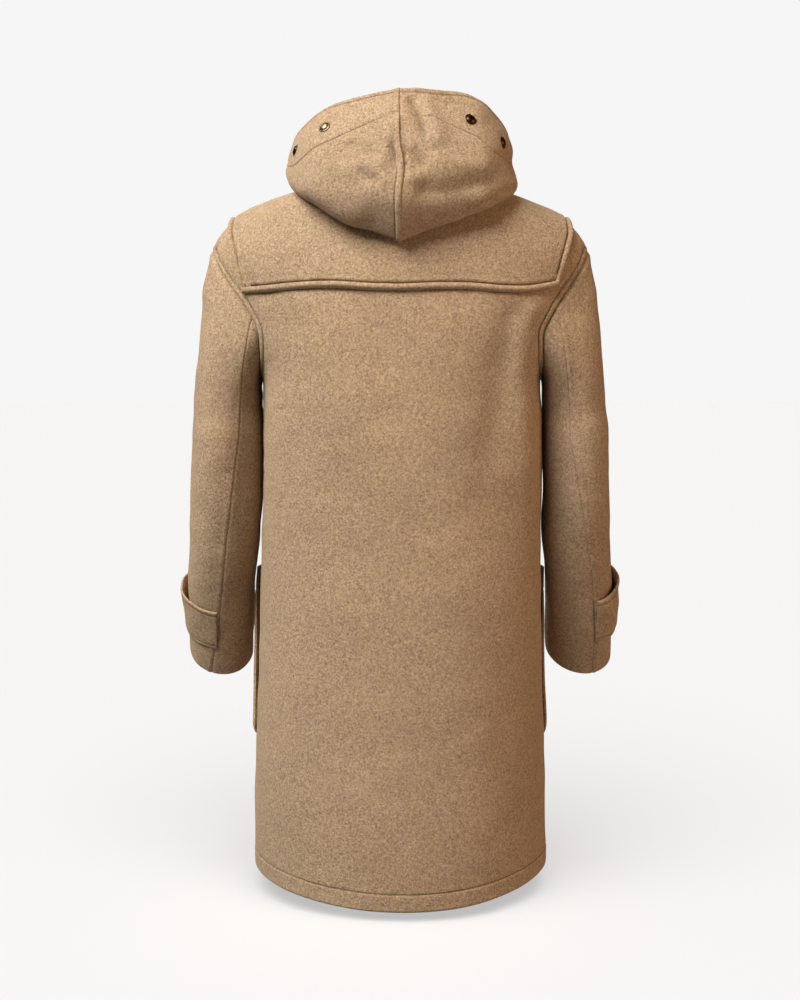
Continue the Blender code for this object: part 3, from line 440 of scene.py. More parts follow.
def fold_relief(angle, height):
    """How far the drape folds move the cloth out."""
    relief = np.zeros(np.broadcast(angle, height).shape)
    for degrees, top, bottom, half_width, depth in FOLDS:
        turn = math.radians(degrees)
        across = (angle - turn) * FOLD_ROUND / half_width
        down = ease((top * CM - height) / (6 * CM)) * ease((height - bottom * CM) / (10 * CM))
        if bottom <= FOLD_TO_HEM:
            down = ease((top * CM - height) / (10 * CM))
        relief = relief + depth * CM * np.exp(-across ** 2) * down
    return relief


def body_flat(angle, rise):
    """A point of the body's surface, for an angle round from the wearer's left side to the back."""
    angle, rise = paired(angle, rise)
    row = smooth_curve(BODY_KNOTS, BODY_VALUES, rise)
    height, back_drop, front_drop, half_width, wider = np.moveaxis(row[..., :5], -1, 0)
    back_depth, front_depth, roundness = np.moveaxis(row[..., 5:], -1, 0)
    cosine, sine, size = oval(angle, roundness)
    behind = sine >= 0
    depth = np.where(behind, back_depth, front_depth)
    drop = np.where(behind, back_drop, front_drop)
    swell = fold_relief(angle, height)
    half_width = half_width + wider * ease(-1.3 * cosine * size)
    x = (half_width + swell) * cosine * size
    y = (depth + swell) * sine * size
    z = height - drop * (sine * size) ** 2
    return stacked(x, y, z)


def surface_normals(surface, first, second, small_first, small_second):
    """Outward normals of a surface by small steps along its two directions."""
    along_first = surface(first + small_first, second) - surface(first - small_first, second)
    along_second = surface(first, second + small_second) - surface(first, second - small_second)
    return unit(np.cross(along_first, along_second))


def body_normal(angle, rise):
    rise = np.clip(rise, 1 * MM, NECK - 1 * MM)
    return surface_normals(body_flat, np.asarray(angle, dtype=float), rise, 0.004, 0.5 * MM)


def body(angle, rise, out=0.0):
    """A point of the body's surface moved out along its normal."""
    out = np.asarray(out, dtype=float)
    return body_flat(angle, rise) + body_normal(angle, rise) * out[..., None]


def angle_at(reach, rise, front=False):
    """The angle at which a section is this far to the wearer's left of the centre."""
    row = smooth_curve(BODY_KNOTS, BODY_VALUES, rise)
    share = np.clip(np.asarray(reach) / row[..., 3], -1.0, 1.0)
    rest = (1 - np.abs(share) ** row[..., 7]) ** (1 / row[..., 7])
    angle = np.arctan2(rest, share)
    return -angle if front else angle


print("cloth from hem to neck:", round(NECK, 3), "m")

# %% The armhole seam
# Where the armhole seam runs: its distance from the centre of the back and front at each height.
ARMHOLE_COLUMNS = ("height", "back_reach", "front_reach")
ARMHOLE = (
    (-25.5, 17.65, 17.65),
    (-24.0, 17.40, 17.10),
    (-22.0, 17.35, 16.80),
    (-20.0, 17.60, 16.80),
    (-18.3, 18.50, 17.50),
    (-16.6, 19.60, 18.70),
    (-14.4, 21.30, 20.60),
    (-12.2, 22.75, 22.40),
    (-9.9, 23.80, 23.80),
)


def armhole_reach(rise, front):
    """How far from the centre the armhole seam runs at a rise."""
    heights = smooth_curve(BODY_KNOTS, BODY_VALUES, rise)[..., 0]
    name = "front_reach" if front else "back_reach"
    table_heights = column_values(ARMHOLE_COLUMNS, ARMHOLE, "height") * CM
    return smooth_curve(table_heights, column_values(ARMHOLE_COLUMNS, ARMHOLE, name) * CM, heights)


ARMPIT = rise_at_height(ARMPIT_HEIGHT)
SHOULDER_END = rise_at_height(SHOULDER_END_HEIGHT)


def armhole_angle(rise, front):
    """The armhole seam's angle at a rise; 0 below the armpit and above the shoulder's end."""
    rise = np.asarray(rise, dtype=float)
    inside = (rise > ARMPIT) & (rise < SHOULDER_END)
    kept = np.clip(rise, ARMPIT, SHOULDER_END)
    angle = angle_at(armhole_reach(kept, front), kept, front)
    return np.where(inside, angle, 0.0)


def side_edge(rise, front):
    """Where a panel starts at the side: the seam gap off the side seam, or off the armhole seam."""
    row = smooth_curve(BODY_KNOTS, BODY_VALUES, rise)
    gap = (SEAM_GAP / 2) / row[..., 5]
    return armhole_angle(rise, front) + (-gap if front else gap)


def armhole_loop(front):
    """Half of the armhole seam from its top to the armpit: share of its length, angle and rise."""
    part = 0.5 - 0.5 * np.cos(np.linspace(0, math.pi, 80))
    rise = SHOULDER_END + (ARMPIT - SHOULDER_END) * part
    angle = angle_at(armhole_reach(rise, front), rise, front)
    points = body_flat(angle, rise)
    length = np.concatenate([[0.0], np.cumsum(np.linalg.norm(np.diff(points, axis=0), axis=1))])
    return length / length[-1], angle, rise


ARMHOLE_BACK = armhole_loop(False)
ARMHOLE_FRONT = armhole_loop(True)
ARMHOLE_SEWN = slice(18, 66)   # of its 80 places, those with a line of stitches beside them


def armhole_point(turn, side):
    """A point on the armhole seam and the body's normal there; turn runs from -pi to pi, 0 on top.

    The right armhole is read on the body's right and mirrored to the left.
    """
    share = np.abs(turn) / math.pi
    behind = turn >= 0
    angle = np.where(behind, np.interp(share, *ARMHOLE_BACK[:2]), np.interp(share, *ARMHOLE_FRONT[:2]))
    rise = np.where(
        behind,
        np.interp(share, ARMHOLE_BACK[0], ARMHOLE_BACK[2]),
        np.interp(share, ARMHOLE_FRONT[0], ARMHOLE_FRONT[2]),
    )
    if side < 0:
        angle = math.pi - angle
    return to_side(body_flat(angle, rise), side), to_side(body_normal(angle, rise), side)


# %% The sleeves' sections
# The left sleeve's sections, from just below the armpit to the hem, in centimetres: height, how far out
# and forward its middle lies, half width, half depth, the lean in degrees that lets its back hang lower,
# roundness, and how far its outside is lifted. The last two make the right sleeve slimmer on its inside
# and let its outside hang lower.
SLEEVE_SECTIONS = (
    (-30.0, 22.40, -0.2, 4.25, 7.2, 2.0, 2.20, 0.0, 0.35, 0.0),
    (-38.0, 22.70, 0.1, 4.35, 6.9, 8.0, 2.20, 0.0, 0.35, 0.0),
    (-46.0, 23.10, 1.4, 4.40, 6.4, 15.0, 2.20, 0.0, 0.20, 0.0),
    (-54.5, 23.70, 4.0, 4.40, 5.8, 22.0, 2.15, 0.2, 0.0, 0.2),
    (-63.0, 24.20, 7.3, 4.30, 5.3, 30.0, 2.05, 0.6, -0.1, 1.1),
)
# How far round from the outside the sleeve's back and front seams lie, in degrees, down the sleeve.
SLEEVE_SEAM_COLUMNS = ("reach", "left_back", "right_back", "front")
SLEEVE_SEAMS = (
    (0.0, 95.0, 85.0, -88.0),
    (0.4, 114.0, 100.0, -104.0),
    (0.8, 123.0, 112.0, -110.0),
    (1.3, 122.0, 112.0, -110.0),
    (2.0, 114.0, 99.0, -108.0),
    (3.0, 102.0, 80.0, -106.0),
    (4.0, 94.0, 69.0, -104.0),
    (5.0, 79.0, 70.0, -100.0),
)
SLEEVE_KNOTS = np.arange(1.0, 1.0 + len(SLEEVE_SECTIONS))
SLEEVE_VALUES = np.array(SLEEVE_SECTIONS)
SLEEVE_END = SLEEVE_KNOTS[-1]


def sleeve_ring(turn, reach, side):
    """A point on the sleeve below the armpit."""
    row = smooth_curve(SLEEVE_KNOTS, SLEEVE_VALUES, reach)
    height, across, forward, half_width, half_depth, lean, roundness = np.moveaxis(row[..., :7], -1, 0)
    lift, slimmer, lower = np.moveaxis(row[..., 7:], -1, 0)
    if side < 0:
        across = across + slimmer
        half_width = half_width - slimmer
        lift = lift - lower
    cosine, sine, size = oval(turn, roundness)
    tip = np.radians(lean)
    behind = half_depth * sine * size
    x = across + half_width * cosine * size
    y = -forward + behind * np.cos(tip)
    z = height - behind * np.sin(tip) + lift * cosine * size
    return stacked(x, y, z) * CM


def sleeve_start(turn, side):
    """Where the sleeve leaves the armhole seam and in which direction."""
    seam, normal = armhole_point(turn, side)
    top = np.maximum(np.cos(turn), 0)[..., None] ** 2
    under = np.maximum(-np.cos(turn), 0)[..., None] ** 2
    side = (np.sin(turn) ** 2)[..., None]
    backwards = np.sign(np.sin(turn))
    sideways = stacked(0.80, 0.30 * backwards, -0.52)
    leave = unit(top * np.array((0.30, 0.0, -0.95)) + under * np.array((0.10, 0.0, -1.0)) + side * sideways)
    return seam + (leave + normal) * SLEEVE_START_GAP, leave


def sleeve_surface(side):
    """One sleeve's surface, still on the left: turn 0 is its outside, reach runs from 0 to the hem."""
    def point(turn, reach):
        turn, reach = paired(turn, reach)
        turn = (turn + math.pi) % (2 * math.pi) - math.pi
        start, leave = sleeve_start(turn, side)
        first = sleeve_ring(turn, np.ones(turn.shape), side)
        down = sleeve_ring(turn, np.full(turn.shape, 1.02), side) - first
        span = np.linalg.norm(first - start, axis=-1, keepdims=True)
        part = np.clip(reach, 0, 1)[..., None]
        flow = 1 - 3 * part ** 2 + 2 * part ** 3
        cap = (
            flow * start
            + (1 - flow) * first
            + (part - 2 * part ** 2 + part ** 3) * 0.8 * span * leave
            + (part ** 3 - part ** 2) * span * unit(down)
        )
        return np.where((reach < 1)[..., None], cap, sleeve_ring(turn, np.maximum(reach, 1), side))
    return point


def sleeve(side, turn, reach, out=0.0):
    """A point of a sleeve moved out along its normal, on the sleeve's own side."""
    turn, reach = paired(turn, reach)
    surface = sleeve_surface(side)
    inside = np.clip(reach, 0.02, SLEEVE_END - 0.02)
    normal = -surface_normals(surface, turn, inside, 0.01, 0.01)
    return to_side(surface(turn, reach) + normal * np.asarray(out, dtype=float)[..., None], side)


def sleeve_seam(name, reach):
    knots = column_values(SLEEVE_SEAM_COLUMNS, SLEEVE_SEAMS, "reach")
    degrees = column_values(SLEEVE_SEAM_COLUMNS, SLEEVE_SEAMS, name)
    return np.radians(smooth_curve(knots, degrees, reach))


# %% The hood's guide lines
HOOD_STAND = 1.2 * CM          # height of the hood's stand above the neck seam
# The hood's left half, in rows from the centre front round to the centre back. Each row is a line over
# the outside of the cloth: from the neck seam, up the stand, out over the yoke to the fold, round the
# bulge, past the middle to the face edge: the row's place on the neck seam in degrees, then points in
# cm on its underside, fold, bulge, middle, upper part and edge.
HOOD_ROWS = (
    (-80.0, (2.6, -9.9, -6.4), (3.5, -11.0, -7.0), (4.1, -11.7, -6.5),
     (4.3, -11.8, -6.0), (4.3, -11.7, -5.5), (4.1, -11.5, -5.0)),
    (-45.0, (7.8, -7.6, -3.0), (9.4, -8.2, -3.9), (10.5, -8.4, -2.9),
     (10.8, -8.3, -1.9), (10.8, -8.1, -1.0), (10.6, -7.8, -0.2)),
    (0.0, (10.6, -0.2, 0.3), (12.6, 0.6, -1.5), (13.8, 0.8, -0.5),
     (13.9, 0.7, 0.7), (13.8, 0.5, 1.6), (13.5, 0.3, 2.5)),
    (25.0, (10.6, 4.4, -0.8), (12.6, 5.9, -3.0), (13.6, 6.3, -1.9),
     (13.5, 5.8, 0.8), (13.0, 5.2, 2.9), (12.1, 4.4, 4.9)),
    (55.0, (7.0, 8.4, -1.1), (8.6, 11.8, -6.15), (9.9, 13.0, -3.6),
     (10.0, 12.3, 0.9), (9.3, 10.7, 4.2), (8.1, 8.7, 7.1)),
    (90.0, (0.0, 10.2, -1.6), (0.0, 13.9, -9.4), (0.0, 16.3, -5.6),
     (0.0, 15.3, 0.6), (0.0, 13.6, 5.2), (0.0, 10.9, 9.1)),
)
# The right half stands fuller. At the same places, how far in cm its fold lies further out, its bulge
# further out, and its face edge further out and up.
HOOD_FULLER = (
    (-80.0, 0.0, 0.0, 0.0, 0.0),
    (-45.0, 0.2, 0.0, 0.0, 0.0),
    (0.0, 0.9, 0.0, 0.1, 0.0),
    (25.0, 0.9, 0.0, 0.8, 0.2),
    (55.0, 0.2, 0.3, 0.7, 0.9),
    (90.0, 0.0, 0.0, 0.0, 0.0),
)
HOOD_KNOTS_AROUND = np.linspace(0, 1, len(HOOD_ROWS))
HOOD_KNOTS_UP = np.array((0.0, 0.10, 0.22, 0.42, 0.52, 0.68, 0.84, 1.0))


def hood_rows():
    """The hood's guide points, shaped (rows round, places up, 3)."""
    around = np.radians([row[0] for row in HOOD_ROWS])
    seam = body_flat(around, np.full(around.shape, NECK))
    inward = unit(seam * np.array((1.0, 1.0, 0.0))) * 2.5 * NECK_SEAM_GAP
    base = seam - inward + np.array((0.0, 0.0, NECK_SEAM_GAP))
    stand = seam - inward + np.array((0.0, 0.0, HOOD_STAND))
    guides = np.array([row[1:] for row in HOOD_ROWS]) * CM
    return np.concatenate([base[:, None], stand[:, None], guides], axis=1)


HOOD_GUIDES = hood_rows()


def fuller_guides():
    """The right half's guide points, still on the left."""
    fold_out, bulge_out, edge_out, edge_up = np.array(HOOD_FULLER)[:, 1:].T * CM
    guides = HOOD_GUIDES.copy()
    guides[:, 3, 0] += fold_out
    guides[:, 4, 0] += bulge_out + 0.3 * fold_out
    guides[:, 5, 0] += bulge_out
    guides[:, 6, 0] += 0.8 * edge_out
    guides[:, 6, 2] += 0.5 * edge_up
    guides[:, 7, 0] += edge_out
    guides[:, 7, 2] += edge_up
    return guides


HOOD_SIDE_GUIDES = {1: HOOD_GUIDES, -1: fuller_guides()}


def hood_surface(side):
    """The outside of one hood half: around 0 is the centre front and 1 the back, up runs to the edge."""
    def point(around, up):
        around, up = paired(around, up)
        row_shares = smooth_curve(HOOD_KNOTS_AROUND, np.eye(len(HOOD_KNOTS_AROUND)), around)
        place_shares = smooth_curve(HOOD_KNOTS_UP, np.eye(len(HOOD_KNOTS_UP)), up)
        return np.einsum("...r,...p,rpc->...c", row_shares, place_shares, HOOD_SIDE_GUIDES[side])
    return point


def hood(side, around, up, out=0.0):
    """A point of a hood half moved out along its normal, on the half's own side."""
    around, up = paired(around, up)
    surface = hood_surface(side)
    inside_around = np.clip(around, 0.01, 0.99)
    inside_up = np.clip(up, 0.01, 0.99)
    normal = surface_normals(surface, inside_around, inside_up, 0.01, 0.01)
    level = np.where((around > 0.985)[..., None], np.array((0.0, 1.0, 1.0)), 1.0)
    points = surface(around, up) + unit(normal * level) * np.asarray(out, dtype=float)[..., None]
    return to_side(points, side)


print("surfaces ready: body, sleeves, hood")

# %% [markdown]
# ## From a measured surface to a piece of cloth
# A piece is set out as a tailor chalks it: lines at real distances from the edges, close together where
# the cloth rolls or is sewn and wide apart on the plain field. The face is then moved out or in by a
# relief of a few millimetres, and a second face one cloth thickness behind it closes the piece. A
# subdivided box would need many more points for the same edge.

# %% Distances over the cloth
SEWN_STEPS = np.array((
    0.0, 0.3, 0.8, 1.5, 2.4, 3.6, 5.0, 6.2, 7.2, 7.9, 8.5, 9.1, 9.9, 11.2, 13.5, 17.0)) * MM
PLAIN_STEPS = np.array((0.0, 0.4, 1.0, 2.0, 4.0)) * MM
SEAM_STEPS = np.array((0.0, 0.3, 0.8, 1.5, 2.4, 3.6, 5.2, 7.5, 11.0)) * MM
FIELD_PITCH = 5.0 * MM
BAND = 8.5 * MM                # from a sewn edge to its line of stitches


def travelled(points):
    """How far along its row each point of a grid lies."""
    step = np.linalg.norm(np.diff(points, axis=1), axis=-1)
    return np.concatenate([np.zeros((len(points), 1)), np.cumsum(step, axis=1)], axis=1)


def rim_distances(points):
    """How far each grid point lies from the start and end of its row and of its column."""
    along = travelled(points)
    climb = travelled(points.transpose(1, 0, 2)).T
    return along, along[:, -1:] - along, climb, climb[-1:] - climb


def rows_across(width, steps, field):
    """Places across a width: close steps in from both its edges, and evenly spaced ones between."""
    between = np.linspace(steps[-1], width - steps[-1], field)[1:-1]
    return np.concatenate([steps, between, width - steps[::-1]])


def spread(across, up):
    """A grid of rough places: every place across, at every place up."""
    return np.repeat(across[None], len(up), axis=0), np.repeat(up[:, None], len(across), axis=1)


def set_out(surface, first, second, near_start, near_end, pitch=FIELD_PITCH):
    """Moves the points of a patch's rows to chosen distances from the rows' two ends."""
    lengths = travelled(surface(first, second, 0.0))
    whole = lengths[:, -1]
    field = max(3, int((whole.max() - near_start[-1] - near_end[-1]) / pitch))
    share = np.linspace(0, 1, field + 1)[1:-1]
    spots = []
    for row in range(len(first)):
        fit = min(1.0, 0.45 * whole[row] / max(near_start[-1], near_end[-1]))
        low = near_start * fit
        high = whole[row] - near_end[::-1] * fit
        spots.append(np.concatenate([low, low[-1] + share * (high[0] - low[-1]), high]))
    return tuple(np.array([np.interp(spot, length, row) for spot, length, row in zip(spots, lengths, grid)])
                 for grid in (first, second))


def beside(surface, first, second, distance):
    """The line that runs at a distance beside a line on a surface."""
    small = 0.001
    here = surface(first, second, 0.0)
    run = (surface(first + small, second, 0.0) - surface(first - small, second, 0.0)) / (2 * small)
    climb = (surface(first, second + small, 0.0) - surface(first, second - small, 0.0)) / (2 * small)
    outward = unit(np.cross(run, climb))
    step = unit(np.diff(here, axis=0))
    before = np.cross(outward, np.concatenate([step[:1], step]))
    after = np.cross(outward, np.concatenate([step, step[-1:]]))
    sideways = distance * (before + after) / np.maximum(1 + (before * after).sum(-1), 0.6)[:, None]
    run_run = (run * run).sum(-1)
    run_climb = (run * climb).sum(-1)
    climb_climb = (climb * climb).sum(-1)
    run_side = (run * sideways).sum(-1)
    climb_side = (climb * sideways).sum(-1)
    whole = run_run * climb_climb - run_climb ** 2
    return (
        first + (climb_climb * run_side - run_climb * climb_side) / whole,
        second + (run_run * climb_side - run_climb * run_side) / whole,
    )


# %% Relief: rolled edges, sewn bands, seams, creases and lumps
CREASE_START = 0.2             # the shares of its line over which a crease fades in
CREASE_END = 0.25              # and out
CREASE_POINTS = 20             # along its line
LUMP_WAVES = 16                # random waves in a field of lumps


def edge_roll(distance, thick):
    """How far a cut edge rounds off: half the cloth at the very edge and nothing a little way in."""
    inside = np.clip(distance / (0.7 * thick), 0, 1)
    return 0.5 * thick * (1 - np.sqrt(1 - (1 - inside) ** 2))


def sewn_band(distance, puff, pull, line=BAND):
    """A folded edge sewn down: it puffs up to the line of stitches, which the thread pulls in."""
    band = np.clip(distance / line, 0, 1)
    swell = puff * np.sin(math.pi * band) ** 0.6 * (distance < line)
    groove = pull * bell(distance - line, 1.1 * MM)
    beyond = 0.3 * puff * bell(distance - line - 4 * MM, 2.5 * MM) * (distance > line)
    return swell - groove + beyond


def seam_sink(distance, depth=1.0 * MM, puff=0.5 * MM):
    """Where two pieces meet, both turn down into the seam and swell beside it."""
    return puff * bell(distance - 4.5 * MM, 3 * MM) - depth * np.exp(-distance / (1.2 * MM))


def lumps(points, size, seed):
    """A smooth random field over points, from about -1 to 1, with lumps of about this size."""
    chance = np.random.default_rng(seed)
    waves = unit(chance.normal(size=(LUMP_WAVES, 3))) * (2 * math.pi / size)
    waves = waves * chance.uniform(0.5, 1.3, (LUMP_WAVES, 1))
    phase = chance.uniform(0, 2 * math.pi, LUMP_WAVES)
    return np.sin(points @ waves.T + phase).sum(axis=-1) / 4


def crease(points, line, half_width, rise, steep=1.0):
    """One soft ridge, or a trough where the rise is negative, along a line of (x, z) points in cm.

    The half width is in cm, the rise in mm; steep narrows the side to the line's left.
    """
    at = points[..., (0, 2)] / CM
    fine = smooth_curve(np.linspace(0, 1, len(line)), line, np.linspace(0, 1, CREASE_POINTS))
    step = np.diff(fine, axis=0)
    away = at[..., None, :] - fine[:-1]
    part = np.clip((away * step).sum(-1) / (step ** 2).sum(-1), 0, 1)
    miss = away - part[..., None] * step
    distance = np.linalg.norm(miss, axis=-1)
    nearest = distance.argmin(axis=-1)[..., None]
    side = np.take_along_axis(step[:, 0] * miss[..., 1] - step[:, 1] * miss[..., 0], nearest, -1)[..., 0]
    along = (nearest[..., 0] + np.take_along_axis(part, nearest, -1)[..., 0]) / len(step)
    away = np.take_along_axis(distance, nearest, -1)[..., 0]
    width = np.where(side > 0, half_width * steep, half_width)
    fade = ease(along / CREASE_START) * ease((1 - along) / CREASE_END)
    return rise * MM * bell(away, width) * fade


def creased(relief, points, creases, share=1.0):
    """A relief with creases laid over it one by one."""
    for fold in creases:
        relief = relief + crease(points, *fold) * share
    return relief


def spot(points, x, z, wide, high, rise):
    """One soft bump or dent about a place seen from behind, in cm, with its rise in mm."""
    away = ((points[..., 0] / CM - x) / wide) ** 2 + ((points[..., 2] / CM - z) / high) ** 2
    return rise * MM * np.exp(-away)


# %% Closed pieces of cloth
SHEETS = {}
HOLLOW_REACH = 2.4 * MM        # how far aside a groove is measured
HOLLOW_DEPTH = 0.9 * MM        # a groove this deep holds all the shade that it can
SEAM_ROLL = 0.25               # of a free edge's roll, where the edge is caught in a seam


def add_piece(name, points, faces, material):
    """A smooth mesh object from arrays of points and faces, with its faces turned outwards."""
    corners = points[faces]
    middle = points.mean(axis=0)
    first = corners[:, 0] - middle
    volume = 0.0
    for place in range(1, faces.shape[1] - 1):
        across = np.cross(corners[:, place] - middle, corners[:, place + 1] - middle)
        volume += np.einsum("ij,ij->", first, across)
    if volume < 0:
        faces = faces[:, ::-1]
    mesh = bpy.data.meshes.new(name)
    mesh.from_pydata(points.tolist(), [], faces.tolist())
    mesh.shade_smooth()
    mesh.materials.append(material)
    return add_object(name, mesh)


def wall_faces(rows, columns):
    """Four-sided faces of a closed wall between two grids, the second grid's points after the first's."""
    under = rows * columns
    corner = (np.arange(rows - 1)[:, None] * columns + np.arange(columns - 1)).reshape(-1)
    face = np.stack([corner, corner + 1, corner + columns + 1, corner + columns], axis=-1)
    rim = np.concatenate([
        np.arange(columns),
        np.arange(1, rows) * columns + columns - 1,
        (rows - 1) * columns + np.arange(columns - 2, -1, -1),
        np.arange(rows - 2, 0, -1) * columns,
    ])
    after = np.roll(rim, -1)
    wall = np.stack([after, rim, under + rim, under + after], axis=-1)
    return np.concatenate([face, under + face[:, ::-1], wall])


# The wool is painted darker where this is high: painted shade in the grooves.
def hollows(outer, outward):
    """How deep each point of a face lies in a groove, from 0 to 1: below the middle of its neighbours."""
    deep = np.zeros(outer.shape[:2])
    for turned in (False, True):
        grid, facing = (side.transpose(1, 0, 2) if turned else side for side in (outer, outward))
        length = travelled(grid)
        middle = np.zeros_like(grid)
        for row in range(len(grid)):
            for axis in range(3):
                for reach in (-HOLLOW_REACH, HOLLOW_REACH):
                    beside_it = np.interp(length[row] + reach, length[row], grid[row, :, axis])
                    middle[row, :, axis] += 0.5 * beside_it
        sunk = ((middle - grid) * facing).sum(-1)
        sunk = sunk * (np.minimum(length, length[:, -1:] - length) > 0.6 * HOLLOW_REACH)
        deep = np.maximum(deep, sunk.T if turned else sunk)
    return np.clip(deep / HOLLOW_DEPTH, 0, 1)


def cloth(name, surface, first, second, relief, thick=WALL, out=0.0, under=None, sewn=(), tuck=0.0):
    """A closed piece of cloth on a surface, its face moved out by a relief, its edges rolled.

    under, if given, is how deep the inner face lies, where it isn't one thickness below the outer one.
    sewn names the rims that are caught in a seam, which roll much less: start, end, low or high.
    tuck draws the rows' start this far under the piece it is sewn to.
    """
    face = surface(first, second, out)
    if tuck:
        back = unit(face[:, :1] - face[:, 1:2])
        face = face + back * tuck * bell(travelled(face), tuck)[..., None]
    outward = (surface(first, second, out + 1 * MM) - face) / MM
    roll = 0.0
    for rim, distance in zip(("start", "end", "low", "high"), rim_distances(face)):
        roll = np.maximum(roll, edge_roll(distance, thick) * (SEAM_ROLL if rim in sewn else 1.0))
    depth = thick - roll if under is None else under
    outer = face + outward * (relief - roll)[..., None]
    # Painted shade: how deep each point of the face lies in a groove, kept on the piece for its wool to
    # darken.
    shaded = hollows(outer, outward)
    inner = face + outward * (relief - depth)[..., None]
    points = np.concatenate([outer.reshape(-1, 3), inner.reshape(-1, 3)])
    piece = add_piece(name, points, wall_faces(*first.shape), MELTON)
    hollow = piece.data.attributes.new("hollow", "FLOAT", "POINT")
    hollow.data.foreach_set("value", np.concatenate([shaded.reshape(-1), np.zeros(shaded.size)]))
    record_sheet(piece, surface, outer)
    return piece


def record_sheet(piece, surface, outer):
    """Keeps what the cutting list needs: the flat width and length that the face stands for."""
    lengths = travelled(outer)[:, -1], travelled(outer.transpose(1, 0, 2))[:, -1]
    quad = np.cross(outer[1:, 1:] - outer[:-1, :-1], outer[1:, :-1] - outer[:-1, 1:])
    area = 0.5 * float(np.linalg.norm(quad, axis=-1).sum())
    cut = float(lengths[0].max()), float(lengths[1].max())
    SHEETS[piece.name] = {"piece": piece, "surface": surface, "cut": cut, "area": area}
    print("%s: cut %.2f x %.2f m, %.3f m2, %d faces" % (piece.name, *cut, area, len(piece.data.polygons)))


# %% [markdown]
# ## Lines of stitches
# Every edge of this coat is sewn down with thick thread, about four millimetres to the stitch, and the
# thread sinks into the nap. The lines are laid on the finished cloth by dropping them on to its mesh,
# and Geometry Nodes then set the stitches along all of them at once, because there are thousands.

# %% Laying a line of thread on a piece
from mathutils.bvhtree import BVHTree

THREAD_LINES = []
DROP_HEIGHT = 15 * MM          # above the piece, from where a place is dropped
DROP_REACH = 40 * MM


def landed(sheet_name, first, second):
    """Where places dropped on a piece from outside land, each with the cloth's outward direction."""
    sheet = SHEETS[sheet_name]
    if "tree" not in sheet:
        mesh = sheet["piece"].data
        sheet["tree"] = BVHTree.FromPolygons([point.co for point in mesh.vertices],
                                             [tuple(face.vertices) for face in mesh.polygons])
    start = sheet["surface"](first, second, DROP_HEIGHT)
    down = unit(sheet["surface"](first, second, 0.0) - start)
    found = []
    for point, direction in zip(start, down):
        hit = sheet["tree"].ray_cast(Vector(point), Vector(direction), DROP_REACH)[0]
        if hit is not None:
            found.append((np.array(hit), -direction))
    return found


def sew(sheet_name, first, second):
    """Lays a line of thread along a line of places on a piece; one of the two may be a single value."""
    laid = landed(sheet_name, *paired(first, second))
    if len(laid) > 2:
        THREAD_LINES.append(laid)


# %% [markdown]
# ## Back and fronts
# The back hangs from the shoulders and breaks into long soft folds where the armholes hold it: a ridge
# runs down each side from the yoke's corner. The cloth is so thick that nothing sharper forms. The
# folds are drawn as strokes, as a sculptor would lay them, rather than simulated, because a simulation
# of a closed coat takes minutes and still has to be steered to these folds.

# %% Creases of the body, as (x, z) lines in cm seen from behind
BACK_CREASES = (
    # line, half width in cm, rise in mm
    (((-18.4, -15.6), (-16.6, -17.2), (-15.0, -20.6),
      (-15.2, -27.0), (-15.8, -40.0), (-15.7, -62.0)), 1.3, 3.6),
    (((-14.9, -16.4), (-13.6, -18.2), (-12.9, -21.0),
      (-12.0, -27.0), (-11.3, -33.0), (-10.0, -45.0)), 1.6, -3.2),
    (((18.2, -16.2), (16.6, -18.0), (15.7, -22.0),
      (15.5, -30.0), (15.6, -44.0), (15.7, -62.0)), 1.5, 2.4),
    (((13.6, -17.0), (12.9, -22.0), (12.6, -30.0), (12.9, -40.0)), 2.0, -0.9),
    (((1.8, -17.0), (1.9, -24.0), (1.7, -34.0)), 2.4, -0.9),
    (((-16.9, -22.4), (-15.9, -25.2), (-14.9, -29.0)), 0.9, -1.1),
    (((16.9, -23.4), (16.0, -26.0), (15.0, -29.5)), 0.9, -0.9),
    (((-4.0, -52.0), (-3.0, -70.0), (-3.4, -86.0)), 3.4, -1.4),
    (((7.4, -48.0), (8.2, -66.0), (9.0, -84.0)), 3.2, 1.3),
    (((-9.4, -60.0), (-10.6, -74.0), (-11.4, -88.0)), 2.6, 1.3),
)
FRONT_CREASES = (
    (((17.6, -18.0), (15.6, -22.0), (14.6, -30.0), (14.4, -44.0)), 1.3, 2.0),
    (((13.6, -16.5), (12.2, -22.0), (11.4, -32.0)), 1.6, -1.8),
    (((-17.6, -18.4), (-15.9, -22.5), (-15.0, -31.0), (-14.8, -42.0)), 1.2, 1.9),
    (((-13.2, -17.0), (-12.4, -23.0), (-11.0, -34.0)), 1.5, -1.6),
    (((11.0, -76.0), (11.6, -84.0), (12.0, -89.0)), 1.8, 1.6),
    (((-10.2, -74.0), (-11.0, -82.0), (-11.3, -89.0)), 2.0, -1.6),
)
YOKE_COVERS = (-16.4 * CM, -14.0 * CM)   # between these heights the folds die out under the yoke


def body_relief(points):
    """The folds and slow unevenness of the body's cloth, flat where the yoke lies over it."""
    behind = points[..., 1] > 0
    relief = 0.9 * MM * lumps(points, 17 * CM, 3) + 0.35 * MM * lumps(points, 6 * CM, 4)
    relief = creased(relief, points, BACK_CREASES, behind)
    relief = creased(relief, points, FRONT_CREASES, ~behind)
    return relief * (1 - ease((points[..., 2] - YOKE_COVERS[0]) / (YOKE_COVERS[1] - YOKE_COVERS[0])))


# %% Distance to a sewn line
LINE_FINER = 12                # times as many points as the line came with
LINE_BATCH = 200               # points of the line at a time, to spare memory


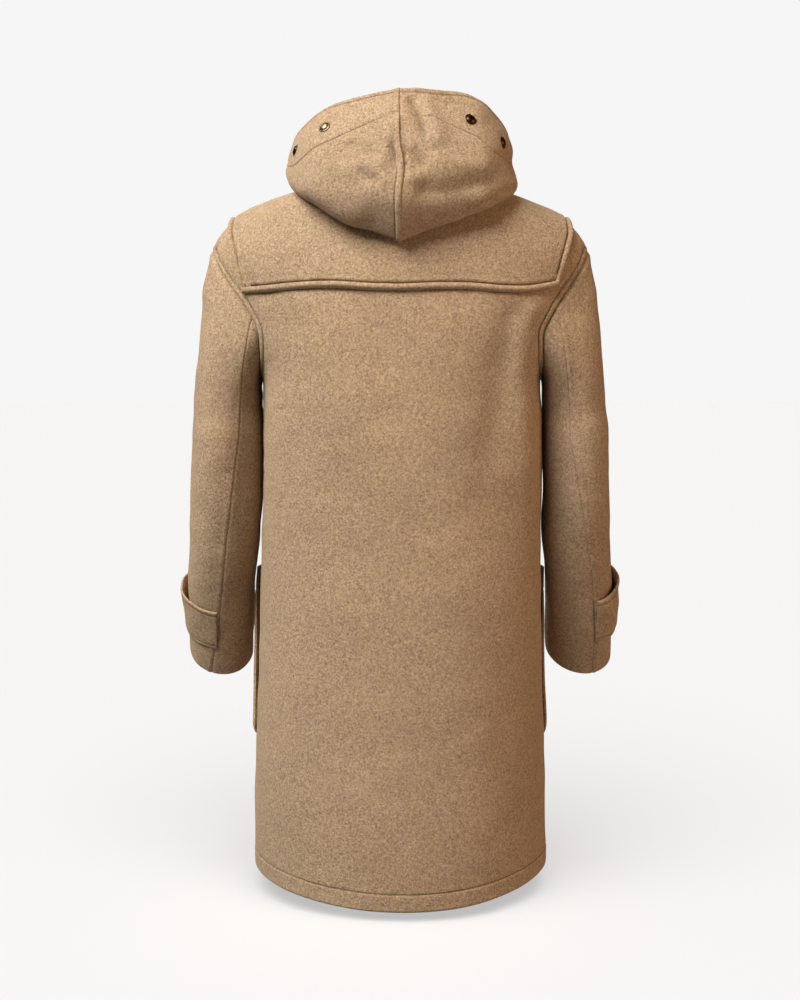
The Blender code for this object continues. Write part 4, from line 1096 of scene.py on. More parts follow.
def distance_to(points, line):
    """Distance from every grid point to a closely set line of points."""
    step = np.linspace(0, 1, LINE_FINER, endpoint=False)[:, None, None]
    dense = (line[:-1] * (1 - step) + line[1:] * step).reshape(-1, 3)
    flat = points.reshape(-1, 3)
    nearest = np.full(len(flat), np.inf)
    for start in range(0, len(dense), LINE_BATCH):
        gap = flat[:, None, :] - dense[None, start:start + LINE_BATCH]
        nearest = np.minimum(nearest, (gap * gap).sum(-1).min(axis=1))
    return np.sqrt(nearest).reshape(points.shape[:-1])


# %% The yoke's outline
YOKE_SHOULDER_HEIGHT = -6.6 * CM
YOKE_LEFT_CORNER_HEIGHT = -15.6 * CM
YOKE_RIGHT_CORNER_HEIGHT = -14.7 * CM
YOKE_FRONT_LEFT_END = -2.9 * CM    # where its front edges end, from the centre front
YOKE_FRONT_RIGHT_END = 4.2 * CM
# Its side edges: share of the way from corner to shoulder, reach from the centre behind and in front, cm.
YOKE_EDGE = (
    (0.0, 19.30, 18.20),
    (0.45, 20.55, 19.90),
    (0.75, 21.35, 21.10),
    (1.0, 21.45, 21.45),
)
# Its lower edge across the back: degrees round the body and how far up the cloth, in cm.
YOKE_BACK_EDGE = (
    (36.5, 75.6), (45.5, 75.8), (56.5, 76.15), (68.5, 76.35), (80.0, 76.1), (90.0, 76.0), (100.0, 76.15),
    (110.0, 76.15), (120.0, 75.85), (128.5, 75.8), (135.0, 76.1), (142.5, 76.6),
)
YOKE_BACK_PLACES = 200         # along that edge
CORNER_STEPS = np.array((0.0, 0.7, 1.6, 2.8, 4.4, 6.5, 9.0)) * MM


def yoke_side(corner_height):
    """One side edge of the yoke from its corner to the shoulder: rises, back angles, front angles."""
    steps = np.sin(np.linspace(0, math.pi / 2, 90))
    climb = rise_at_height(corner_height + (YOKE_SHOULDER_HEIGHT - corner_height) * steps)
    share, back_reach, front_reach = np.array(YOKE_EDGE).T
    back_edge = angle_at(smooth_curve(share, back_reach * CM, steps), climb)
    front_edge = angle_at(smooth_curve(share, front_reach * CM, steps), climb, True)
    back_edge[-1] = 0.0
    front_edge[-1] = 0.0
    return climb, back_edge, front_edge


def yoke_outline():
    """The yoke's free edge from the left front over the back to the right front, in five legs."""
    left_climb, left_back, left_front = yoke_side(YOKE_LEFT_CORNER_HEIGHT)
    right_climb, right_back, right_front_edge = yoke_side(YOKE_RIGHT_CORNER_HEIGHT)
    degrees, up = np.array(YOKE_BACK_EDGE).T
    back = np.linspace(left_back[0], math.pi - right_back[0], YOKE_BACK_PLACES)
    stretched = degrees[0] + (degrees[-1] - degrees[0]) * np.linspace(0, 1, YOKE_BACK_PLACES)
    back_rise = smooth_curve(degrees, up * CM, stretched)
    back_rise += (left_climb[0] - back_rise[0]) * ease(1 - np.linspace(0, 8, YOKE_BACK_PLACES))
    back_rise += (right_climb[0] - back_rise[-1]) * ease(1 - np.linspace(8, 0, YOKE_BACK_PLACES))
    left_end = angle_at(YOKE_FRONT_LEFT_END, left_climb[0], True)
    right_end = math.pi - angle_at(YOKE_FRONT_RIGHT_END, right_climb[0], True)
    front = np.linspace(left_end, left_front[0], 120)
    right = np.linspace(math.pi - right_front_edge[0], right_end, 120)

    def over(first, second):
        """The line over a shoulder: up the first and down the second."""
        return np.concatenate([first, second[::-1][1:]])

    return (
        (front, np.full(front.shape, left_climb[0])),
        (over(left_front, left_back), over(left_climb, left_climb)),
        (back, back_rise),
        (math.pi - over(right_back, right_front_edge), over(right_climb, right_climb)),
        (right, np.full(right.shape, right_climb[0])),
    )


edge_angle, edge_rise = [], []
for leg_angle, leg_rise in yoke_outline():
    leg_angle, leg_rise = set_out(body, leg_angle[None], leg_rise[None], CORNER_STEPS, CORNER_STEPS, 4 * MM)
    skip = 1 if edge_angle else 0
    edge_angle.append(leg_angle[0, skip:])
    edge_rise.append(leg_rise[0, skip:])
FRONT_LEGS = len(edge_angle[0]), len(edge_angle[-1])   # the outline's points along each front
edge_angle = np.concatenate(edge_angle)
edge_rise = np.concatenate(edge_rise)
print("yoke outline:", len(edge_angle), "points")
YOKE_EDGE_LINE = body(edge_angle, edge_rise)


def under_yoke_edge(points):
    """The stitches pull the cloth in along the yoke's edge, so it dips just outside the roll."""
    near = distance_to(points, YOKE_EDGE_LINE)
    return -1.3 * MM * bell(near, 2.4 * MM)


# %% Rows up the body, closer where an edge or a seam curves
HEM_LINE = 22.5 * MM           # from the hem to its line of stitches
HEM_STEPS = np.array((
    0.0, 0.3, 0.8, 1.5, 2.5, 4.0, 7.0, 11.0, 15.0, 18.5, 20.3, 21.3, 22.0, 22.5, 23.0, 23.8, 25.0, 28.0,
    33.0)) * MM
armhole_rows = ARMPIT + (SHOULDER_END - ARMPIT) * (0.5 - 0.5 * np.cos(np.linspace(0, math.pi, 62)))
BODY_ROWS = np.concatenate([
    HEM_STEPS,
    np.linspace(HEM_STEPS[-1], ARMPIT - 1 * MM, 98)[1:],
    armhole_rows,
    np.linspace(SHOULDER_END, NECK, 18)[1:-2],
    NECK - np.array((6.0, 3.0, 1.5, 0.8, 0.3, 0.0)) * MM,
])
ARMHOLE_LINES = {
    (side, front): body_flat(angle if side > 0 else math.pi - angle, rise)
    for front, (_, angle, rise) in ((False, ARMHOLE_BACK), (True, ARMHOLE_FRONT)) for side in (1, -1)
}


def armhole_band(points, side, front):
    """The felled armhole seam: a narrow puffed band beside the sleeve, sewn down."""
    near = distance_to(points, ARMHOLE_LINES[(side, front)])
    fades = ease((points[..., 2] - ARMPIT_HEIGHT + 2 * CM) / (4 * CM))
    return (sewn_band(near, 1.9 * MM, 1.7 * MM) * fades + seam_sink(near, 0.7 * MM, 0.0)) * (near < 30 * MM)


def hem_band(points_up):
    """The turned hem: a little thicker below its line of stitches."""
    band = 0.5 * MM * (points_up < HEM_LINE) * ease(points_up / (3 * MM))
    return band - 0.9 * MM * bell(points_up - HEM_LINE, 1.2 * MM)


def sew_armhole(name, surface, side, front):
    """Sews down the armhole seam's allowance on the back or on a front."""
    _, angle, rise = ARMHOLE_FRONT if front else ARMHOLE_BACK
    if side < 0:
        angle = (-math.pi if front else math.pi) - angle
    distance = side * (BAND if front else -BAND)
    sew(name, *beside(surface, angle[ARMHOLE_SEWN], rise[ARMHOLE_SEWN], distance))


# %% The back
def body_rows(start, end):
    """Rough rows of a body panel between two edges, ready to be set out."""
    share = np.linspace(0, 1, 240)
    angle = start[:, None] + (end - start)[:, None] * share
    return angle, np.repeat(BODY_ROWS[:, None], len(share), axis=1)


start = side_edge(BODY_ROWS, False)
angle, rise = body_rows(start, math.pi - start)
angle, rise = set_out(body, angle, rise, SEWN_STEPS, SEWN_STEPS)
points = body(angle, rise)
left, right, climb, _ = rim_distances(points)
seam = seam_sink(left) + seam_sink(right)
seam = seam * (points[..., 2] < ARMPIT_HEIGHT)
relief = body_relief(points) + hem_band(climb) + seam + under_yoke_edge(points)
relief += armhole_band(points, 1, False) + armhole_band(points, -1, False)
relief += 0.35 * MM * lumps(points, 1.5 * CM, 5) * np.exp(-np.abs(climb - HEM_LINE) / (9 * MM))
cloth("back_cloth", body, angle, rise, relief, sewn=("start", "end", "high"))
hem_row = int(np.abs(HEM_STEPS - HEM_LINE).argmin())
sew("back_cloth", angle[hem_row, 2:-2:2], rise[hem_row, 2:-2:2])
sew_armhole("back_cloth", body, 1, False)
sew_armhole("back_cloth", body, -1, False)

# %% The two fronts, the left one lapping over the right
FRONT_LINE = 8.5 * MM


def right_front_sink(angle, rise):
    """How far the right front lies in where the left front covers it."""
    across = body_flat(angle, rise)[..., 0]
    return (WALL + LAP_GAP) * ease((across - LAP_STEP) / LAP_STEP_WIDTH)


def right_front(angle, rise, out=0.0):
    """The body's surface with the step under the left front."""
    return body(angle, rise, np.asarray(out, dtype=float) - right_front_sink(angle, rise))


for side, word, surface in ((1, "left", body), (-1, "right", right_front)):
    start = side_edge(BODY_ROWS, True)
    end = angle_at(-side * FRONT_LAP / 2, BODY_ROWS, True)
    if side < 0:
        start = -math.pi - start
    angle, rise = body_rows(start, end)
    angle, rise = set_out(surface, angle, rise, SEWN_STEPS, SEWN_STEPS, 6 * MM)
    points = surface(angle, rise)
    from_side, from_lap, climb, _ = rim_distances(points)
    flatter = ease((points[..., 0] * side + 2 * CM) / (6 * CM))
    relief = body_relief(points) * flatter + hem_band(climb) + under_yoke_edge(points)
    relief += seam_sink(from_side) * (points[..., 2] < ARMPIT_HEIGHT)
    relief += armhole_band(points, side, True)
    relief += sewn_band(from_lap, 0.8 * MM, 0.8 * MM, FRONT_LINE)
    name = "front_%s_cloth" % word
    cloth(name, surface, angle, rise, relief, sewn=("start", "high"))
    sew(name, angle[hem_row, 2:-2:2], rise[hem_row, 2:-2:2])
    sew(name, *beside(surface, end[2:-6], BODY_ROWS[2:-6], -side * FRONT_LINE))
    sew_armhole(name, surface, side, True)

# %% [markdown]
# ## The shoulder yoke
# A second layer of cloth lies over the shoulders against the rain. Its edge is turned under and sewn
# down about eight millimetres in, so the fold stands up as a soft, round, slightly wavy roll: the
# strongest line on the coat. The rows of this piece therefore run beside its edge all the way round.

# %% The yoke
YOKE_LIFT = 1.2 * MM           # of the yoke's inner face above the back
YOKE_PUFF = 2.4 * MM
TURNED_EDGE = 5.0 * MM         # the two layers of the turned edge together
YOKE_FIELD_ROWS = 27
YOKE_FIELD = (20, 180)         # mm, roughly how far from the edge those rows lie


def upright_ends(angle, rise):
    """Keeps the yoke's two front ends upright beside the fronts' overlap on their way up to the neck."""
    left, right = FRONT_LEGS
    angle = angle.copy()
    angle[:left] += (angle_at(YOKE_FRONT_LEFT_END, rise[0], True) - angle[0]) * np.linspace(1, 0, left)
    right_end = math.pi - angle_at(YOKE_FRONT_RIGHT_END, rise[-1], True)
    angle[-right:] += (right_end - angle[-1]) * np.linspace(0, 1, right)
    return angle


rows = [beside(body, edge_angle, edge_rise, step) for step in SEWN_STEPS]
last_angle, last_rise = rows[-1]
for share in np.linspace(0, 1, YOKE_FIELD_ROWS + 1)[1:]:
    climb = last_rise + (NECK - last_rise) * share
    rows.append((upright_ends(last_angle + (edge_angle - last_angle) * share, climb), climb))
angle = np.array([row[0] for row in rows])
rise = np.array([row[1] for row in rows])
print("yoke grid", angle.shape)

points = body(angle, rise, LAY_GAP)
from_edge = np.concatenate([SEWN_STEPS, np.linspace(*YOKE_FIELD, YOKE_FIELD_ROWS) * MM])[:, None]
relief = sewn_band(from_edge, YOKE_PUFF, 2.1 * MM) + 0.9 * MM * lumps(points, 11 * CM, 11)
relief += 0.45 * MM * lumps(points, 2.2 * CM, 12) * bell(from_edge - 7 * MM, 9 * MM)
relief = relief * (0.3 + 0.7 * ease(from_edge / (2 * MM)))
under = np.broadcast_to(WALL + relief + 0.8 * MM * (1 - ease(from_edge / BAND)), relief.shape)
cloth("yoke_cloth", body, angle, rise, relief, thick=TURNED_EDGE, out=YOKE_LIFT + WALL, under=under,
      sewn=("high",))
stitched = beside(body, edge_angle, edge_rise, BAND)
sew("yoke_cloth", stitched[0][3:-3], stitched[1][3:-3])

# %% [markdown]
# ## Sleeves
# Each sleeve has a wide top piece and a narrower under piece. It starts full at the armhole, where the
# sleeve head swells over the seam, hangs close to the body and bends a little forward at the elbow. The
# back seam shows as a fine dark line with the top piece standing up beside it.

# %% Creases of the sleeves, as (x, z) lines in cm seen from behind
RIGHT_CUFF_SWELL = (((-27.0, -54.0), (-27.4, -59.0), (-27.4, -64.5)), 2.0, 5.5)
SLEEVE_CREASES = {
    1: (
        (((22.6, -12.6), (21.8, -17.0), (21.4, -23.0), (21.6, -30.0)), 1.2, -1.1),
        (((24.6, -13.4), (24.4, -20.0), (24.3, -30.0), (24.6, -42.0)), 1.3, 1.2),
        (((20.0, -33.0), (21.4, -37.0), (23.2, -39.4), (25.4, -40.0)), 1.0, -1.0),
        (((21.0, -44.0), (22.6, -46.6), (25.0, -47.4)), 0.9, -0.9),
        (((21.6, -50.0), (23.2, -54.0), (24.0, -60.0)), 1.3, 1.0),
        (((18.2, -25.6), (18.2, -30.0), (18.3, -38.0), (18.6, -46.0), (19.0, -55.0)), 1.0, 6.0),
        (((18.0, -26.6), (18.0, -28.7), (18.0, -31.0)), 1.1, -2.2),
        (((24.0, -14.0), (24.3, -21.0), (24.6, -28.0), (25.0, -34.0)), 3.4, -4.2),
    ),
    -1: (
        (((-24.0, -11.2), (-24.3, -13.2), (-24.4, -15.4)), 0.7, -1.3),
        (((-22.8, -14.0), (-22.0, -18.5), (-21.8, -26.0)), 1.1, -1.1),
        (((-24.8, -15.0), (-24.6, -24.0), (-24.5, -36.0)), 1.3, 1.2),
        (((-20.4, -35.0), (-22.0, -38.4), (-24.0, -40.2), (-26.0, -40.4)), 1.0, -1.0),
        (((-21.6, -45.6), (-23.4, -48.0), (-25.8, -48.4)), 0.9, -0.9),
        (((-22.2, -50.0), (-23.8, -55.0), (-24.6, -61.0)), 1.3, 1.0),
        (((-18.9, -25.0), (-18.9, -31.0), (-19.0, -38.0), (-19.0, -46.0), (-19.1, -55.0)), 1.0, 6.0),
        (((-24.0, -14.0), (-24.3, -21.0), (-24.6, -28.0), (-25.2, -33.0)), 3.4, -4.2),
        RIGHT_CUFF_SWELL,
    ),
}


def sleeve_relief(points, side, from_armhole):
    """Folds and slow unevenness of a sleeve, and the sleeve head's swell beside the armhole."""
    relief = 0.8 * MM * lumps(points, 9 * CM, 21 + side) + 0.3 * MM * lumps(points, 4 * CM, 25 + side)
    relief = creased(relief, points, SLEEVE_CREASES[side], ease((points[..., 1] + 6 * CM) / (6 * CM)))
    relief = relief * ease(from_armhole / (3 * CM))
    swell = 1.5 * MM * bell(from_armhole - 7 * MM, 5 * MM)
    swell = swell * ease((points[..., 2] + 24 * CM) / (6 * CM))
    return relief + swell - 1.6 * MM * np.exp(-from_armhole / (2.0 * MM))


# %% The four sleeve pieces
ARMHOLE_STEPS = np.array((0.0, 0.4, 1.0, 1.8, 2.8, 4.0, 5.5, 7.5, 10.0, 13.0, 17.0)) * MM
CUFF_STEPS = np.array((0.0, 0.3, 0.8, 1.5, 2.4, 3.8, 6.0, 10.0)) * MM
SEAM_OVERLAP = 0.3 * MM / (5.5 * CM)   # of the two pieces in their seams, in radians round the sleeve
SLEEVE_ROUND = 22 * CM         # rough, of a sleeve's outside
TOP_SHARE = 0.62               # of that round, for the spacing of the top piece's rows
UNDER_SHARE = 0.45             # the same for the under piece
SLEEVE_PITCH = 6 * MM

for side, word in SIDES:
    reach = np.linspace(0, SLEEVE_END, 400)
    back = sleeve_seam(word + "_back", reach)
    front = sleeve_seam("front", reach)

    def own_sleeve(turn, reach, out=0.0, side=side):
        """This side's sleeve."""
        return sleeve(side, turn, reach, out)

    top = "top", front - SEAM_OVERLAP, back + SEAM_OVERLAP, TOP_SHARE * SLEEVE_ROUND
    under = "under", back - SEAM_OVERLAP, front + SEAM_OVERLAP + 2 * math.pi, UNDER_SHARE * SLEEVE_ROUND
    for kind, low, high, width in (top, under):
        share = rows_across(width, SEAM_STEPS, int(width / FIELD_PITCH)) / width
        turn = low + (high - low) * share[:, None]
        along = np.repeat(reach[None], len(share), axis=0)
        turn, along = set_out(own_sleeve, turn, along, ARMHOLE_STEPS, CUFF_STEPS, SLEEVE_PITCH)
        points = own_sleeve(turn, along)
        from_armhole, _, one_seam, other_seam = rim_distances(points)
        relief = sleeve_relief(points, side, from_armhole)
        relief += seam_sink(one_seam, 0.9 * MM, 0.3 * MM)
        relief += seam_sink(other_seam, 0.9 * MM, 0.9 * MM if kind == "top" else 0.2 * MM)
        cloth("sleeve_%s_%s_cloth" % (kind, word), own_sleeve, turn, along, relief,
              sewn=("start", "low", "high"), tuck=1.5 * MM)

# %% [markdown]
# ## Cuff straps
# A strap with a pointed end is caught in each sleeve's back seam and buttoned round the outside of the
# cuff. It stands a little away from the sleeve at its top edge, which is how wool that has been worn
# looks. A horn button holds its point.

# %% Cuff straps
STRAP_STAND = 7.0 * MM         # how far a cuff strap's top edge stands away at the outside
STRAP_POINT = -62.0            # degrees from the outside of the cuff to the strap's point
STRAP_BUTTON_BACK = 0.30       # how far behind that point its button sits, in radians
# How far down each sleeve the strap lies: its top at the back seam, its top outside, and its bottom.
STRAPS = {1: (3.98, 3.90, 4.58), -1: (3.82, 3.76, 4.46)}


def strap_edges(side, turn, seam_turn):
    """How far down the sleeve a cuff strap's top and bottom edges lie."""
    top_at_seam, top_outside, bottom = STRAPS[side]
    top = top_at_seam + (top_outside - top_at_seam) * ease((seam_turn - turn) / math.radians(80.0))
    return top, np.full(np.shape(turn), bottom)


def strap_stand(turn, up):
    """How far the strap stands away from the sleeve, from its bottom edge (0) to its top edge (1)."""
    return STRAP_STAND * (0.10 + 0.90 * up ** 1.5) * bell(turn - 0.1, 0.8)


STRAP_WIDTH = 52 * MM
STRAP_LINE = 6 * MM
STRAP_STEPS = np.array((0.0, 0.3, 0.8, 1.5, 2.4, 3.6, 4.8, 5.6, 6.0, 6.4, 7.2, 9.0)) * MM
STRAP_PITCH = 3.5 * MM
STRAP_SEATS = {}               # where each button sits, and a place straight above it

for side, word in SIDES:
    seam_turn = float(sleeve_seam(word + "_back", np.array(4.3)))
    around = np.linspace(seam_turn - 0.02, math.radians(STRAP_POINT), 400)

    def strap_surface(along, up, out=0.0, side=side, seam_turn=seam_turn, end=around[-1]):
        """The strap's underside: along is an angle round the cuff, up runs from its bottom edge up."""
        top, bottom = strap_edges(side, along, seam_turn)
        pointed = 0.35 + 0.65 * ease((along - end) / 0.35)
        reach = (bottom + top) / 2 + (bottom - top) * (0.5 - up) * pointed
        stand = SMALL_LAY_GAP + strap_stand(along, up) + np.asarray(out, dtype=float)
        return sleeve(side, along, reach, stand)

    up = rows_across(STRAP_WIDTH, STRAP_STEPS, 9) / STRAP_WIDTH
    first, second = set_out(strap_surface, *spread(around, up), PLAIN_STEPS, STRAP_STEPS, STRAP_PITCH)
    points = strap_surface(first, second, WALL)
    _, from_point, from_bottom, from_top = rim_distances(points)
    nearest = np.minimum(np.minimum(from_bottom, from_top), from_point)
    relief = sewn_band(nearest, 0.5 * MM, 0.55 * MM, STRAP_LINE)
    relief = relief + 0.4 * MM * lumps(points, 2.5 * CM, 31 + side)
    relief -= 1.3 * MM * bell(from_bottom, 4 * MM)
    if side < 0:
        relief += crease(points, *RIGHT_CUFF_SWELL)
    name = "cuff_strap_%s_cloth" % word
    cloth(name, strap_surface, first, second, relief, out=WALL, sewn=("start",))
    for up in (STRAP_LINE / STRAP_WIDTH, 1 - STRAP_LINE / STRAP_WIDTH):
        sew(name, around[6:-14], up)
    seat = np.array(around[-1] + STRAP_BUTTON_BACK), np.array(0.5)
    STRAP_SEATS[side] = [strap_surface(*seat, out) for out in (WALL, WALL + 1 * CM)]

# %% [markdown]
# ## Patch pockets
# A large patch pocket is sewn on each front, low down. From behind only its side edge shows past the
# body, standing off a little because a pocket that is used never lies flat.

# %% Patch pockets
POCKET_TOP = -51.0 * CM
POCKET_BOTTOM = -73.8 * CM
POCKET_REACH = (-5.0, -57.0)   # degrees round the body from the side seam
POCKET_CORNER = 2.5 * CM
POCKET_HALF_WIDTH = 9.5 * CM
POCKET_EDGE_GAP = 1.4 * MM
POCKET_BELLY = 2.2 * MM        # how much further its middle stands off
POCKET_TOP_LINE = 30 * MM      # the turned top edge's line of stitches
POCKET_TOP_STEPS = np.array((
    34, 32, 31, 30.5, 30, 29.5, 29, 28, 25, 20, 14, 8, 4, 2.4, 1.5, 0.8, 0.3, 0)) * MM
POCKET_SIDE_STANDS = {1: 3.5 * MM, -1: 1.0 * MM}   # how far the side edge stands off

for side, word in SIDES:
    start, end = (math.radians(value) for value in POCKET_REACH)
    low = rise_at_height(POCKET_BOTTOM)
    high = rise_at_height(POCKET_TOP)

    def pocket_surface(across, up, out=0.0, side=side, start=start, end=end, low=low, high=high):
        """The pocket's underside over the front: across runs from the side edge, up from the bottom."""
        angle = start + (end - start) * across
        if side < 0:
            angle = -math.pi - angle
        corner = POCKET_CORNER / POCKET_HALF_WIDTH
        beyond = np.clip((np.abs(2 * across - 1) - (1 - corner)) / corner, 0, 1)
        lift = 0.8 * POCKET_CORNER * (1 - np.sqrt(1 - beyond ** 2))
        belly = np.sin(math.pi * np.clip(across, 0, 1)) ** 0.4 * ease(up * 3.0)
        stand = POCKET_EDGE_GAP + POCKET_BELLY * belly + np.asarray(out, dtype=float)
        return body(angle, low + lift + (high - low - lift) * up, stand)

    length = high - low
    field = np.linspace(SEWN_STEPS[-1], length - POCKET_TOP_STEPS[0], 30)[1:-1]
    up = np.concatenate([SEWN_STEPS, field, length - POCKET_TOP_STEPS]) / length
    first, second = set_out(pocket_surface, *spread(np.linspace(0, 1, 300), up), SEWN_STEPS, SEWN_STEPS)
    points = pocket_surface(first, second, WALL)
    one_side, other_side, from_bottom, from_top = rim_distances(points)
    nearest = np.minimum(np.minimum(one_side, other_side), from_bottom)
    relief = sewn_band(nearest, 0.8 * MM, 0.8 * MM) + 0.7 * MM * lumps(points, 8 * CM, 41 + side)
    relief -= 0.8 * MM * bell(from_top - POCKET_TOP_LINE, 1.2 * MM)
    relief += POCKET_SIDE_STANDS[side] * bell(one_side, 22 * MM)
    name = "pocket_%s_cloth" % word
    cloth(name, pocket_surface, first, second, relief, out=WALL)
    inset_up = BAND / length
    inset_across = BAND / (2 * POCKET_HALF_WIDTH * 0.95)
    for across in (inset_across, 1 - inset_across):
        sew(name, across, np.linspace(inset_up + 0.09, 0.985, 60))
    sew(name, np.linspace(0.10, 0.90, 50), inset_up)
    sew(name, np.linspace(0.02, 0.98, 60), 1 - POCKET_TOP_LINE / length)

# %% [markdown]
# ## The hood
# The hood lies back on the shoulders. It is cut in two halves, joined over the crown by a seam whose
# allowance is turned to the wearer's left and sewn down, so below the crown's dent a narrow welt runs
# to the fold. A facing is sewn along the face edge. The cloth has slumped: a dent beside the seam, a
# pull from the top on the right, and a wide soft trough over the right half's rolled lower edge.

# %% The hood's creases, dents and sewn lines
# Lines of (x, z) seen from behind and half widths in cm, rises in mm, and how much one side is narrowed.
HOOD_CREASES = {
    1: (
        (((5.2, -0.6), (3.6, -1.9), (2.2, -2.6)), 0.7, -3.2),
        (((9.5, -0.4), (6.0, -1.0), (3.4, -0.5), (2.0, 0.6)), 1.1, 3.4),
        (((12.8, -2.1), (9.4, -4.8), (6.5, -6.5), (3.3, -7.8)), 2.1, 5.6, 0.5),
        (((13.2, -3.6), (9.8, -6.1), (6.8, -7.9), (3.6, -9.4)), 1.0, -5.5),
        (((1.6, 7.4), (1.3, 4.4), (1.5, 1.6)), 0.7, 2.6),
        (((6.5, 2.6), (4.6, 1.4), (2.6, 1.5)), 0.8, -2.6),
        (((4.6, -3.2), (3.2, -3.4), (2.0, -3.2)), 0.6, 1.8),
        (((0.4, 9.2), (4.5, 8.3), (8.0, 6.7), (11.0, 4.2), (13.0, 2.0)), 1.3, 2.8),
    ),
    -1: (
        (((-0.9, 8.2), (-1.7, 6.6), (-2.5, 4.6), (-2.9, 2.2)), 0.6, -4.6),
        (((-2.2, 8.3), (-3.5, 6.2), (-4.4, 3.4), (-4.6, 1.4)), 0.9, 4.4),
        (((-1.6, -2.9), (-3.4, -3.6), (-6.3, -3.4), (-9.5, -2.5), (-13.6, -1.7)), 1.3, -6.0),
        (((-8.0, -5.3), (-10.5, -4.3), (-12.6, -3.4), (-14.6, -2.8)), 1.1, 5.0),
        (((-3.0, 0.9), (-6.0, -0.3), (-9.0, -0.5), (-12.4, -0.2)), 1.3, 3.4),
        (((-1.2, 1.6), (-2.2, 0.2), (-3.2, -1.0)), 0.6, -3.0),
        (((-0.1, 9.4), (-3.0, 9.5), (-6.0, 8.8), (-9.0, 7.0), (-11.0, 5.0)), 1.3, 5.0),
    ),
}
# Bumps and dents: x, z, half width and half height in cm, rise in mm.
HOOD_SPOTS = {
    1: (
        (0.8, 0.4, 0.5, 1.5, -5.6), (1.1, 1.7, 0.4, 0.5, -2.6), (1.7, -2.2, 0.8, 0.6, 3.6),
        (2.0, -0.1, 0.8, 1.1, 2.4), (3.6, -1.8, 0.45, 0.35, -1.6), (13.9, -3.4, 1.4, 1.2, 5.0),
    ),
    -1: (
        (-0.5, 0.6, 0.45, 1.3, -2.6), (-1.7, -2.0, 0.9, 0.6, 3.4), (-1.5, 0.6, 0.6, 1.0, 1.8),
        (-14.4, -2.3, 1.3, 1.1, 5.0),
    ),
}
# Where the facing is sewn: place round the hood and place up to the face edge.
FACING_LINE = {
    1: ((0.0, 0.80), (0.40, 0.665), (0.60, 0.637), (0.72, 0.664), (0.778, 0.708), (0.816, 0.735),
        (0.848, 0.758), (0.87, 0.782), (0.894, 0.805), (0.916, 0.826), (0.952, 0.848), (1.0, 0.868)),
    -1: ((0.0, 0.80), (0.40, 0.70), (0.60, 0.665), (0.70, 0.680), (0.764, 0.697), (0.834, 0.776),
         (0.884, 0.818), (0.932, 0.850), (0.976, 0.867), (1.0, 0.872)),
}
# How far the crown seam wanders sideways: height and shift, in cm.
SEAM_SWAY = ((-9.0, -0.2), (-3.4, -0.2), (-1.4, -0.45), (-0.2, -0.4), (2.0, 0.0), (5.5, 0.1), (9.2, 0.2))
WELT = 8.5 * MM                # the crown seam's turned allowance, from the seam to its line of stitches
WELT_TOP = -0.4 * CM           # the welt runs out into the dent here
FACE_EDGE_LINE = 6.5 * MM
# The hood's rows lie close beside the facing's line and along the face edge, and a margin off the line.
FACING_STEPS = np.array((-6.0, -4.0, -2.6, -1.6, -0.9, -0.4, 0.0, 0.4, 0.9, 1.6, 2.6, 4.0, 6.0)) * MM
FACING_MARGIN = 7 * MM
FACE_EDGE_STEPS = np.array((11.0, 9.0, 7.8, 7.1, 6.5, 5.9, 5.2, 4.2, 3.0, 2.0, 1.2, 0.6, 0.25, 0.0)) * MM
HOOD_PITCH = 4.5 * MM


def swayed(points):
    """Shifts the points near the crown seam sideways with it, only on the outside of the hood."""
    heights, shifts = np.array(SEAM_SWAY).T * CM
    shift = smooth_curve(heights, shifts, points[..., 2])
    near = bell(points[..., 0], 3 * CM) * ease((points[..., 1] - 10 * CM) / (2 * CM))
    return points + stacked(shift * near, 0.0, 0.0)


